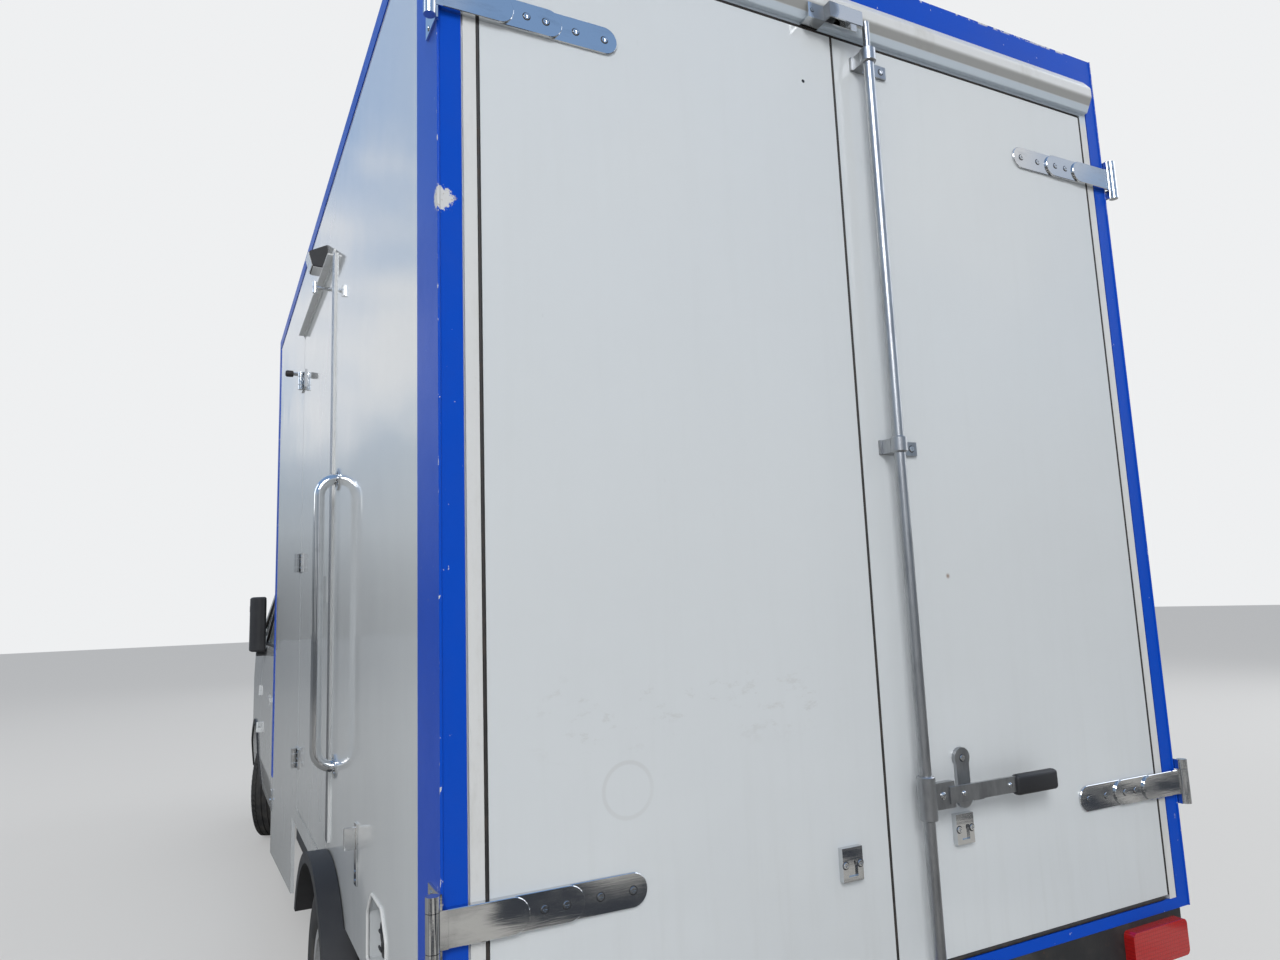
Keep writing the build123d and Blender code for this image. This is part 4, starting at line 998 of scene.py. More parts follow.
class TRUCK_OT_rear(bpy.types.Operator):
    """Rubber lips round the rear doors, the lock's grip and rivets, and the threshold plate."""
    bl_idname = "truck.rear"
    bl_label = "Rear door fittings"

    def execute(self, context):
        lip = Form()
        edge = leaf_edge - 0.004
        frame_line = [at(0.002, -edge, door_low), at(0.002, -edge, door_high + 0.004),
                      at(0.002, edge, door_high + 0.004), at(0.002, edge, door_low)]
        lip.tube(rounded(frame_line, 0.012, 4, False), 0.0036, 10)
        lip.tube([at(0.003, -edge + 0.02, door_low - 0.006), at(0.003, edge - 0.02, door_low - 0.006)],
                 0.005, 10)
        make("rear_door_lips", lip, "seal_rubber")
        middle = Form().tube([at(0.002, seam, door_low), at(0.002, seam, door_high)], 0.0036, 10)
        make("seam_lip", middle, "seal_rubber", "rear_door_right")

        make_box("lock_grip", (-0.0684, -0.4748, 1.0312), (-0.0432, -0.3335, 1.0788), 0.0095, 4,
                 "black_plastic", "rear_door_right", 60.0)
        rivets = Form()
        for x, y, z, r in ((-0.056, -0.105, 1.059, 0.0085), (-0.06, -0.165, 1.058, 0.006),
                           (-0.06, -0.315, 1.058, 0.006)):
            rivets.lathe([(0, r), (0.0014, r), (0.003, r * 0.7), (0.0036, 0)], at(x, y, z), (-1, 0, 0), 18)
        make("lock_rivets", rivets, "bright_steel", "rear_door_right", 50.0)

        plate = Form().box(at(0.0505, -0.96, 0.8302), at(0.118, 0.96, 0.8318), 0.0005, 1)
        rib = Form().box(at(0.058, -0.955, 0.8318), at(0.061, 0.955, 0.833), 0.0006, 1)
        plate.take(row_mesh("threshold_ribs", rib, 6, (0.01, 0, 0), "bright_alloy"))
        make("threshold", plate, "bright_alloy")
        return {"FINISHED"}


class TRUCK_OT_side(bpy.types.Operator):
    """Buffer, alloy strip, door lips, lamp glass, filler, sill covers and skirt catches."""
    bl_idname = "truck.side"
    bl_label = "Side fittings"

    def execute(self, context):
        profile = [(0, 0.0), (0, 0.011), (0.002, 0.0145), (0.027, 0.015), (0.033, 0.0115), (0.035, 0)]
        tip = Form().lathe(profile, at(2.567, 1.0565, 2.614), (0, 1, 0), 28)
        make("buffer_tip", tip, "seal_rubber", sharp=50.0)
        strip = Form().box(at(1.4445, 1.0255, 0.806), at(1.4917, 1.0276, 2.762), 0.0006, 1)
        strip.box(at(1.464, 1.027, 0.806), at(1.472, 1.029, 2.762), 0.0008, 1)
        make("aft_strip", strip, "bright_alloy")
        gap_lip = Form()
        for x0, z0, x1, z1, radius in ((1.5308, 0.726, 1.5308, 2.744, 0.0036),
                                       (2.454, 0.726, 2.454, 2.744, 0.003),
                                       (1.535, 2.749, 2.45, 2.749, 0.003)):
            gap_lip.tube([at(x0, 1.015, z0), at(x1, 1.015, z1)], radius, 8)
        make("side_door_lips", gap_lip, "seal_rubber")
        glass = Form()
        for y0, z0, y1, z1, push in ((1.0862, 2.857, 1.0726, 2.806, (0, 0.0024, -0.0006)),
                                     (1.07, 2.8022, 1.026, 2.8006, (0, 0.0002, -0.002))):
            glass.slab([at(1.701, y0, z0), at(1.789, y0, z0), at(1.789, y1, z1), at(1.701, y1, z1)], push)
        make("side_lamp_glass", glass, "white_lens")
        corners = [(0.5, 0.69), (0.735, 0.69), (0.735, 0.797), (0.68, 0.852), (0.555, 0.852), (0.5, 0.797)]
        edge = rounded([at(x, 1.0203, z) for x, z in corners], 0.01, 4)
        make("filler_edge", Form().tube(edge, 0.0042, 8, closed=True), "jamb_white", sharp=60.0)
        caps = Form()
        for x, z, y, r in ((0.585, 0.79, 1.01, 0.03), (0.64, 0.738, 1.002, 0.021)):
            rib = Form().box((-0.0016, -0.022, r - 0.0005), (0.0016, -0.002, r + 0.0018), 0.0006, 1)
            caps.take(ring_mesh("cap_ribs", rib, 20, "black_plastic", at(x, y, z), (0, 1, 0)))
            caps.box(at(x - r * 0.8, y + 0.0035, z - 0.004), at(x + r * 0.8, y + 0.0075, z + 0.004), 0.002)
        make("filler_cap_ribs", caps, "black_plastic")
        for side, name in both_sides:
            for part, look, z0, z1, out, bevel in (("cover", "black_plastic", 0.559, 0.63, 1.0, 0.0008),
                                                   ("edge", "bright_alloy", 0.6305, 0.6492, 1.001, 0.001)):
                make_box(f"sill_{part}_{name}", (1.8515, side * 0.9982, z0), (2.654, side * out, z1), bevel,
                         1, look)
            catch = Form().box(at(3.775, side * 1.0203, 0.47), at(3.8, side * 1.026, 0.585), 0.003)
            catch.lathe([(0, 0.009), (0.006, 0.009), (0.008, 0.006), (0.008, 0)],
                        at(3.7875, side * 1.026, 0.528), (0, side, 0), 18)
            make(f"skirt_catch_{name}", catch, "bright_steel")
        return {"FINISHED"}


class TRUCK_OT_roof(bpy.types.Operator):
    """Wire guards over the roof unit's fans."""
    bl_idname = "truck.roof"
    bl_label = "Fan guards"

    def execute(self, context):
        low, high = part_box("roof_unit")
        middle = (low[0] + high[0]) / 2
        for side, name in both_sides:
            guard = Form()
            centre = Vector((middle, side * 0.34, high[2] - 0.006))
            for radius in (0.05, 0.085, 0.12, 0.155, 0.186):
                circle = [centre + Vector((math.cos(a), math.sin(a), 0)) * radius for a in turns(48)]
                guard.tube(circle, 0.0028, 6, closed=True)
            under = centre - Vector((0, 0, 0.004))
            for a in turns(12)[:6]:
                way = Vector((math.cos(a), math.sin(a), 0)) * 0.188
                guard.tube([under - way, under + way], 0.003, 6)
            make(f"fan_guard_{name}", guard, "black_plastic", sharp=60.0)
        return {"FINISHED"}


def side_curve(node, x, side):
    """How far out a cab side is at each height, read from the frame's own piece."""
    def reach(z):
        spot = skin(node, at(x, side * 1.4, z), (0, -side, 0))
        return spot.y if spot else side * 1.0
    return reach


def screen_spot(y, z, off):
    """A place in front of the windscreen."""
    spot = skin("cab_glass", (ahead, y, z), (-1, 0, 0))
    return spot + Vector((off * 0.6, 0, off * 0.8)) if spot else None


def outline_on_screen(inset, off):
    """Places along the windscreen's rim, drawn in by inset; None where a ray misses the glass."""
    corners = [(-0.872, 1.452), (0.872, 1.452), (0.738, 2.01), (-0.738, 2.01)]
    centre = Vector((0, 0, 1.735))
    rim = spread(rounded([Vector((0, y, z)) for y, z in corners], 0.1, 6), 0.05)
    rim = [p + (centre - p).normalized() * inset for p in rim]
    return [screen_spot(p.y, p.z, off) for p in rim]


class TRUCK_OT_cab_trim(bpy.types.Operator):
    """Glass seals and dark band, wipers, lamp bowls, mirror glass, repeaters and blank plates."""
    bl_idname = "truck.cab_trim"
    bl_label = "Cab trim"

    def execute(self, context):
        windows = (("cab_door_{}", 4.03, "cab_door_{}",
                    ((4.055, 1.345), (4.835, 1.345), (4.835, 1.79), (4.69, 1.905), (4.055, 1.905)), 0.045),
                   ("cab_shell", 4.945, "chassis", ((4.98, 1.4), (5.395, 1.415), (4.98, 1.735)), 0.024))
        for side, name in both_sides:
            for node, x, body, corners, radius in windows:
                reach = side_curve(node.format(name), x, side)
                rim = spread(rounded([Vector((a, 0, b)) for a, b in corners], radius, 5), 0.06)
                line = [at(p.x, reach(p.z) - side * 0.004, p.z) for p in rim]
                make(f"{body.format(name)}_glass_seal_{name}", Form().tube(line, 0.0085, 8, closed=True),
                     "seal_rubber", body.format(name), 60.0)
        line = [spot for spot in outline_on_screen(0.0, 0.008) if spot]
        make("screen_seal", Form().tube(line, 0.0085, 8, closed=True), "seal_rubber", sharp=60.0)
        band = Form()
        pairs = [pair for pair in zip(outline_on_screen(0.004, 0.0016), outline_on_screen(0.036, 0.0016))
                 if all(pair)]
        pairs = [[band.work.verts.new(spot) for spot in pair] for pair in pairs]
        for (outer, inner), (next_outer, next_inner) in zip(pairs, pairs[1:] + pairs[:1]):
            band.work.faces.new((outer, next_outer, next_inner, inner))
        make("screen_band", band, "inner_plastic", sharp=60.0)

        for name, start, end, root in (("left", 0.64, -0.03, 0.6), ("right", -0.08, -0.7, -0.12)):
            line = [screen_spot(start + (end - start) * t, 1.5 + 0.035 * t, 0.014)
                    for t in (i / 8 for i in range(9))]
            line = [p for p in line if p]
            wiper = Form().tube(line, 0.0055, 6, flat=1.5, up=(1, 0, 1))
            foot = skin("hood", (at(5.66, root, 0).x, root, 2.2), (0, 0, -1)) or Vector((2.46, root, 1.4))
            foot = Vector((foot.x - 0.085, root, foot.z + 0.02))
            grip_at = line[len(line) // 2]
            wiper.tube([foot, foot.lerp(grip_at, 0.5) + Vector((0.012, 0, 0.016)),
                        grip_at + Vector((0.008, 0, 0.01))], 0.0085, 8, flat=0.6, up=(1, 0, 1))
            wiper.lathe([(-0.02, 0.016), (0.006, 0.016), (0.01, 0.01), (0.01, 0)], foot, (0.45, 0, 0.9), 18)
            make(f"wiper_{name}", wiper, "black_plastic", sharp=50.0)

        for side, name in both_sides:
            bowls = Form()
            bulbs = Form()
            for y, z, r in ((0.76, 0.975, 0.044), (0.87, 1.022, 0.036)):
                face = skin("headlamps", (ahead, side * y, z), (-1, 0, 0))
                if face is None:
                    continue
                seat = face - Vector((0.03, 0, 0))
                profile = [(-0.02, 0.004), (-0.019, r * 0.55), (-0.01, r * 0.85), (0.004, r),
                           (0.006, r + 0.003),
                           (0.002, r + 0.003), (-0.014, r * 0.9), (-0.024, r * 0.5), (-0.025, 0.004)]
                bowls.lathe(profile, seat, (1, 0, 0), 36, closed=True)
                profile = [(-0.018, 0), (-0.018, r * 0.4), (-0.004, r * 0.46), (0.004, r * 0.36), (0.008, 0)]
                bulbs.lathe(profile, seat, (1, 0, 0), 24)
            make(f"lamp_bowls_{name}", bowls, "silver_bowl", sharp=50.0)
            make(f"lamp_bulbs_{name}", bulbs, "clear_lens", sharp=60.0)
            make_box(f"mirror_repeater_{name}", (4.845, side * 1.1015, 1.56), (4.892, side * 1.1029, 1.6),
                     0.0014, 2, "amber_lens", f"cab_door_{name}")
            make_box(f"mirror_glass_{name}", (4.705, side * 1.0098, 1.325), (4.885, side * 1.0108, 1.632),
                     0.0004, 1, "mirror_glass", f"cab_door_{name}")

        make_box("rear_plate", (-0.0045, -0.26, 0.537), (-0.0006, 0.26, 0.643), 0.001, 1, "plate_white")
        nose = skin("front_bumper", (ahead, 0.0, 0.512), (-1, 0, 0))
        front_plate = Form().box((nose.x + 0.0004, -0.26, 0.478), (nose.x + 0.004, 0.26, 0.582), 0.001, 1)
        make("front_plate", front_plate, "plate_white")
        return {"FINISHED"}


def leaned(spot, degrees):
    """A move to a spot, after a turn about the cross axis."""
    return Matrix.Translation(spot) @ Matrix.Rotation(math.radians(degrees), 4, "Y")


# Places in the cab in metres from the body's rear face

seat_y = 0.44
wheel_centre = (4.74, 0.4, 1.2)
wheel_lean = 35
pads = (
    # name, length, width, thickness, bolster, middle, lean in degrees, fill
    ("cushion", 0.425, 0.44, 0.12, 0.02, (4.482, 0.916), -2.2, 0.8),
    ("backrest", 0.515, 0.415, 0.092, 0.024, (4.232, 1.283), 82.7, 0.8),
    ("headrest", 0.14, 0.215, 0.062, 0.0, (4.171, 1.681), 87.0, 0.9),
)
seams = {  # starts and ends in shares of half a pad's length and width
    "cushion": ([((-0.82, v), (0.86, v)) for v in (-0.6, 0.6)]
                + [((u, -0.6), (u, 0.6)) for u in (-0.4, 0.02, 0.44)]),
    "backrest": ([((-0.86, v), (0.86, v)) for v in (-0.58, 0.58)]
                 + [((u, -0.58), (u, 0.58)) for u in (-0.45, 0.0, 0.45)]),
    "headrest": [((-0.1, -0.85), (-0.1, 0.85))],
}


def pad_form(length, width, thickness, bolster, pull=0.045):
    """A cushion about its own middle: crowned, its sides raised and its edges pulled in."""
    work = bmesh.new()
    bmesh.ops.create_cube(work, size=2.0)
    bmesh.ops.subdivide_edges(work, edges=work.edges[:], cuts=13, use_grid_fill=True)
    for vert in work.verts:
        u, v, w = vert.co
        near = (abs(u) ** 6 + abs(v) ** 6 + abs(w) ** 6) ** (1 / 6)
        u, v, w = u / near, v / near, w / near
        side = max(0.0, min(1.0, (abs(v) - 0.45) / 0.35))
        lift = bolster * side * side * (3 - 2 * side) * max(0.0, w)
        vert.co = (length / 2 * u * (1 - pull * (1 - v * v)), width / 2 * v * (1 - pull * (1 - u * u)),
                   thickness / 2 * w + lift)
    mesh = bpy.data.meshes.new("pad_form")
    work.to_mesh(mesh)
    work.free()
    return mesh


def flattened(holder):
    """The holder's mesh with its modifiers worked out, and the modifiers gone."""
    made = evaluated(holder)
    holder.modifiers.clear()
    holder.data = made
    return made


def puff(mesh, cap=0.024, last=20):
    """Blows a closed form up as a sewn cover round foam would be, up to a cap, and rounds it off."""
    scene = bpy.context.scene
    holder = bpy.data.objects.new("pad", mesh)
    scene.collection.objects.link(holder)
    voxels = holder.modifiers.new("voxels", "REMESH")
    voxels.mode = "VOXEL"
    voxels.voxel_size = 0.012
    before = flattened(holder)
    rest = [vert.co.copy() for vert in before.vertices]
    cloth = holder.modifiers.new("cover", "CLOTH")
    cloth.settings.quality = 4
    cloth.settings.use_pressure = True
    cloth.settings.uniform_pressure_force = 4.0
    cloth.settings.effector_weights.gravity = 0.0
    cloth.settings.tension_stiffness = 12.0
    cloth.settings.compression_stiffness = 12.0
    cloth.point_cache.frame_start = 1
    cloth.point_cache.frame_end = last
    for step in range(1, last + 1):
        scene.frame_set(step)
    after = flattened(holder)
    for vert, start in zip(after.vertices, rest):
        way = vert.co - start
        if way.length > cap:
            vert.co = start + way.normalized() * cap
    scene.frame_set(1)
    finer = holder.modifiers.new("finer", "SUBSURF")
    finer.levels = finer.render_levels = 1
    made = flattened(holder)
    bpy.data.objects.remove(holder)
    return made


def sew(mesh, length, width, lines, half_width=0.014, depth=0.0065):
    """Draws the seams in as channels and lays a thread along each."""
    tracks = []
    for (u0, v0), (u1, v1) in lines:
        start = Vector((u0 * length / 2, v0 * width / 2, 0))
        tracks.append((start, Vector((u1 * length / 2, v1 * width / 2, 0)) - start))
    for vert in mesh.vertices:
        if vert.co.z <= 0:
            continue
        flat = Vector((vert.co.x, vert.co.y, 0))
        for start, run in tracks:
            share = max(0.0, min(1.0, (flat - start).dot(run) / run.length_squared))
            away = (flat - start - run * share).length
            if away < half_width:
                vert.co.z -= depth * (1 - away / half_width) ** 1.5
    tree = BVHTree.FromPolygons([vert.co for vert in mesh.vertices],
                                [face.vertices for face in mesh.polygons])
    thread = Form()
    for start, run in tracks:
        line = []
        for i in range(25):
            spot = tree.ray_cast(start + run * (i / 24) + Vector((0, 0, 1)), Vector((0, 0, -1)))[0]
            if spot is not None:
                line.append(spot)
        thread.tube(line, 0.0019, 6)
    return thread.mesh("thread")


class TRUCK_OT_seats(bpy.types.Operator):
    """Padded seats with sewn channels, on their bases."""
    bl_idname = "truck.seats"
    bl_label = "Seats"

    def execute(self, context):
        for name, length, width, thickness, bolster, middle, turn, fill in pads:
            cover = puff(pad_form(length, width, thickness, bolster))
            thread = sew(cover, length, width, seams[name])
            for side, seat in both_sides:
                place = leaned(at(middle[0], side * seat_y, middle[1]), turn)
                for label, mesh, look in ((name, cover, "seat_cloth"),
                                          (name + "_seams", thread, "seat_thread")):
                    copy = mesh.copy()
                    copy.transform(place)
                    piece = settle(f"seat_{label}_{seat}", copy, look, "chassis", 180.0)
                    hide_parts("seats")
        for side, seat in both_sides:
            y = side * seat_y
            base = Form()
            for x0, x1, wide, z0, z1, bevel in ((4.312, 4.65, 0.195, 0.6545, 0.8, 0.014),
                                                (4.29, 4.69, 0.215, 0.8, 0.842, 0.012)):
                base.box(at(x0, y - wide, z0), at(x1, y + wide, z1), bevel, 3)
            for a in (-0.225, 0.225):
                base.box(at(4.3, y + a - 0.01, 0.812), at(4.7, y + a + 0.01, 0.834), 0.003)
            base.box(at(4.225, y - 0.2, 0.842), at(4.32, y + 0.2, 1.02), 0.02, 3)
            piece = make(f"seat_base_{seat}", base, "inner_plastic")
            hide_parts("seats")
            steel = Form()
            for a in (-0.06, 0.06):
                steel.tube([at(4.19, y + a, 1.52), at(4.176, y + a, 1.63)], 0.0065, 12)
            steel.tube([at(x, y + a, 0.826) for x, a in
                        ((4.705, -0.14), (4.716, -0.13), (4.716, 0.13), (4.705, 0.14))], 0.0055, 10)
            piece = make(f"seat_rods_{seat}", steel, "bright_steel", sharp=60.0)
            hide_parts("seats")
            knob = Form().lathe([(0, 0.024), (0.012, 0.026), (0.018, 0.02), (0.018, 0)],
                                at(4.29, side * (seat_y + 0.2), 0.945), (0, side, 0), 20)
            make(f"seat_knob_{seat}", knob, "black_plastic", sharp=50.0)
        return {"FINISHED"}


class TRUCK_OT_dash(bpy.types.Operator):
    """Instruments, vents, display, controls, pedals and visors."""
    bl_idname = "truck.dash"
    bl_label = "Dashboard fittings"

    def execute(self, context):
        hood = Form()
        arch = [(0.225, 1.33), (0.245, 1.372), (0.3, 1.398), (0.4, 1.408), (0.5, 1.398), (0.555, 1.372),
                (0.575, 1.33)]
        rows = []
        for x, drop in ((4.955, 0.0), (5.01, 0.001), (5.075, 0.014), (5.13, 0.04)):
            outer = [at(x, y, z - drop) for y, z in arch]
            inner = [at(x + 0.004, 0.4 + (y - 0.4) * 0.955, z - drop - 0.007) for y, z in arch]
            rows.append([hood.work.verts.new(p) for p in outer + inner[::-1]])
        hood.bridge(rows)
        hood.work.faces.new(rows[0])
        hood.work.faces.new(rows[-1][::-1])
        make("instrument_hood", hood, "inner_plastic", sharp=50.0)
        dial_seat = leaned(at(5.012, 0.4, 1.352), -18)
        board = Form().box((0.0, -0.15, -0.034), (0.008, 0.15, 0.034), 0.004)
        self.put("instrument_face", board, "dark_screen", dial_seat)
        dials = Form()
        for y in (-0.08, 0.08):
            dials.lathe([(0, 0.034), (0.005, 0.034), (0.005, 0.031), (0, 0.031)], (-0.0005, y, 0), (-1, 0, 0),
                        32, closed=True)
            tick = Form().box((-0.0016, -0.0005, 0.0245), (-0.0004, 0.0005, 0.0295))
            dials.take(ring_mesh("dial_ticks", tick, 24, "plate_white", (0, y, 0), (-1, 0, 0)))
            dials.box((-0.0022, y - 0.0009, -0.004), (-0.0012, y + 0.0009, 0.024))
        self.put("instrument_dials", dials, "plate_white", dial_seat)

        make_box("display_case", (4.905, -0.135, 1.222), (4.945, 0.115, 1.352), 0.01, 3,
                 "inner_plastic", sharp=50.0)
        make_box("display_glass", (4.9035, -0.12, 1.236), (4.906, 0.1, 1.34), 0.001, 1,
                 "dark_screen", sharp=50.0)
        knobs = Form().box(at(4.901, -0.15, 1.12), at(4.925, 0.13, 1.196), 0.008, 3)
        for y in (-0.1, -0.01, 0.08):
            profile = [(0, 0.02), (0.004, 0.02), (0.006, 0.0165), (0.02, 0.0155), (0.022, 0.013), (0.022, 0)]
            knobs.lathe(profile, at(4.902, y, 1.158), (-1, 0, 0), 28)
        make("heater_panel", knobs, "black_plastic", sharp=50.0)

        vents = Form()
        frame_corners = ((-1, -1), (1, -1), (1, 1), (-1, 1))
        for y in (-0.845, -0.205, 0.185, 0.845):
            wide = 0.06 if abs(y) > 0.5 else 0.045  # half the vent's width
            seat = at(4.928, y, 1.262)
            rim = rounded([seat + Vector((0, a * wide, b * 0.034)) for a, b in frame_corners], 0.016, 4)
            rim = [p + Vector(((p.z - seat.z) * 0.5, 0, 0)) for p in rim]
            vents.tube(rim, 0.0055, 8, closed=True)
            slat = Form().box(seat + Vector((-0.012, -wide, -0.0262)),
                              seat + Vector((0.006, wide, -0.0243)), 0.0006, 1)
            vents.take(row_mesh("vent_slats", slat, 6, (0.005, 0, 0.0102), "black_plastic"))
        make("vents", vents, "black_plastic", sharp=50.0)
        lid = Form().box(at(4.9075, -0.76, 1.06), at(4.93, -0.26, 1.19), 0.01, 3)
        lid.box(at(4.902, -0.56, 1.158), at(4.912, -0.46, 1.174), 0.004)
        make("glove_lid", lid, "inner_plastic", sharp=50.0)

        profile = [(0, 0.046), (0.01, 0.045), (0.024, 0.036), (0.03, 0.03), (0.044, 0.024), (0.05, 0.018),
                   (0.066, 0.012), (0.07, 0.0)]
        lever = Form().lathe(profile, at(4.925, 0.02, 1.05), (-0.8, 0, 0.6), 24)
        make("gear_gaiter", lever, "seat_cloth", sharp=60.0)
        stick = Form().tube([at(4.88, 0.02, 1.084), at(4.8, 0.02, 1.15)], 0.0065, 12)
        make("gear_rod", stick, "bright_steel")
        profile = [(-0.03, 0), (-0.028, 0.014), (-0.01, 0.022), (0.012, 0.026), (0.028, 0.018), (0.034, 0)]
        knob = Form().lathe(profile, at(4.79, 0.02, 1.158), (-0.77, 0, 0.64), 24)
        make("gear_knob", knob, "black_plastic", sharp=60.0)

        wheel_seat = leaned(at(*wheel_centre), -wheel_lean)
        corners = ((-0.06, -0.055), (0.045, -0.082), (0.06, -0.06), (0.06, 0.06), (0.045, 0.082),
                   (-0.06, 0.055))
        cover = Form().slab(rounded([(x, y, 0.0145) for x, y in corners], 0.02, 4), (0, 0, 0.016))
        self.put("wheel_cover", cover, "inner_plastic", wheel_seat, "steering_wheel")
        stalks = Form()
        for y, bend in ((1, 0.004), (-1, -0.004)):
            stalks.tube([(0.0, y * 0.028, -0.07), (bend, y * 0.08, -0.066), (bend * 2, y * 0.15, -0.058)],
                        0.0058, 10)
            stalks.lathe([(0, 0.0058), (0.004, 0.0085), (0.026, 0.0085), (0.03, 0.0)],
                         (bend * 2, y * 0.146, -0.058), (0, y, 0.1), 14)
        self.put("stalks", stalks, "black_plastic", wheel_seat)

        pedals = Form()
        for y, half_wide, half_high, x, z in ((0.275, 0.024, 0.06, 5.0, 0.785),
                                              (0.39, 0.036, 0.026, 4.975, 0.83),
                                              (0.51, 0.036, 0.026, 4.975, 0.83)):
            pad = Form().box((-0.005, -half_wide, -half_high), (0.005, half_wide, half_high), 0.003)
            rib = Form().box((-0.0075, -half_wide + 0.004, -half_high + 0.004),
                             (-0.0045, half_wide - 0.004, -half_high + 0.008))
            pad.take(row_mesh("pedal_ribs", rib, int(half_high / 0.0052), (0, 0, 0.0098), "seal_rubber"))
            mesh = pad.mesh("pedal")
            mesh.transform(leaned(at(x, y, z), -42))
            pedals.take(mesh)
            pedals.tube([at(x + 0.004, y, z), at(x + 0.045, y, z + 0.03), at(5.085, y, 0.95)], 0.008, 8)
        make("pedals", pedals, "black_plastic", sharp=50.0)

        for side, name in both_sides:
            corners = [at(x, side * y, z) for x, y, z in (
                (4.655, 0.17, 2.03), (4.655, 0.62, 2.03), (4.825, 0.62, 1.972), (4.825, 0.17, 1.972))]
            visor = Form().slab(rounded(corners, 0.03, 4), (-0.005, 0, -0.013))
            make(f"visor_{name}", visor, "inner_plastic", sharp=50.0)
        return {"FINISHED"}

    def put(self, name, form, look, spot, body="chassis"):
        """A piece drawn about the origin and moved to its spot."""
        mesh = form.mesh(name)
        mesh.transform(spot)
        settle(name, mesh, look, body, 50.0)


class TRUCK_OT_door_cards(bpy.types.Operator):
    """Armrests, pockets, handles and speaker grilles on the cab doors' inner sides."""
    bl_idname = "truck.door_cards"
    bl_label = "Door cards"

    def execute(self, context):
        for side, name in both_sides:
            body = f"cab_door_{name}"
            card = Form().box(at(4.23, side * 0.912, 0.985), at(4.69, side * 0.9815, 1.04), 0.014, 3)
            card.box(at(4.18, side * 0.938, 0.7), at(4.56, side * 0.981, 0.84), 0.012, 3)
            make(f"armrest_{name}", card, "inner_plastic", body, 50.0)
            make_box(f"card_cloth_{name}", (4.15, side * 0.974, 1.062), (4.74, side * 0.981, 1.18), 0.003, 2,
                     "seat_cloth", body)
            switch = Form().box(at(4.56, side * 0.93, 1.04), at(4.65, side * 0.965, 1.0445), 0.002)
            for x in (4.583, 4.62):
                switch.box(at(x, side * 0.938, 1.0445), at(x + 0.016, side * 0.957, 1.049), 0.0015)
            speaker, inwards = at(4.72, side * 0.9795, 0.77), (0, -side, 0)
            grille = Form().lathe([(0, 0.078), (0.006, 0.076), (0.008, 0.07), (0.004, 0.068), (0.004, 0)],
                                  speaker, inwards, 36)
            for radius, count in ((0.018, 10), (0.032, 18), (0.046, 26), (0.06, 34)):
                dot = Form().lathe([(0, 0.0022), (0.0012, 0.0018), (0.0012, 0)], (0, 0.0038, radius),
                                   (0, 1, 0), 6)
                grille.take(ring_mesh("speaker_dots", dot, count, "black_plastic", speaker, inwards))
            make(f"speaker_{name}", grille, "black_plastic", body, 50.0)
            make(f"window_switch_{name}", switch, "black_plastic", body, 50.0)
            pull = Form().box(at(4.61, side * 0.97, 1.112), at(4.7, side * 0.9735, 1.142), 0.0015)
            pull.tube([at(4.69, side * 0.97, 1.127), at(4.672, side * 0.952, 1.127),
                       at(4.622, side * 0.948, 1.127)], 0.0065, 10, flat=1.4, up=(0, 0, 1))
            make(f"inner_handle_{name}", pull, "bright_steel", body, 60.0)
        return {"FINISHED"}


class TRUCK_OT_load_space(bpy.types.Operator):
    """Kick plates, rivets and lamps inside the load space."""
    bl_idname = "truck.load_space"
    bl_label = "Load space"

    def execute(self, context):
        for side, name in both_sides:
            plate = Form()
            spans = ((0.185, 3.77),) if side < 0 else ((0.185, 1.48), (2.5, 3.77))
            for start, end in spans:
                plate.box(at(start, side * 0.9672, 0.832), at(end, side * 0.9698, 1.09), 0.0008, 1)
                dots = Form()
                for z in (0.856, 1.066):
                    dots.lathe([(0, 0.005), (0.0012, 0.0045), (0.0022, 0.0025), (0.0026, 0)],
                               at(start + 0.03, side * 0.9672, z), (0, -side, 0), 10)
                run = end - start - 0.06
                count = int(run / 0.15)
                plate.take(row_mesh("kick_rivets", dots, count + 1, (run / count, 0, 0), "bright_alloy"))
            make(f"kick_plates_{name}", plate, "bright_alloy")
        lamps = Form()
        for x in (0.9, 2.7):
            lamps.box(at(x, -0.045, 3.066), at(x + 0.32, 0.045, 3.0845), 0.006, 3)
        make("ceiling_lamps", lamps, "white_lens", sharp=50.0)
        return {"FINISHED"}


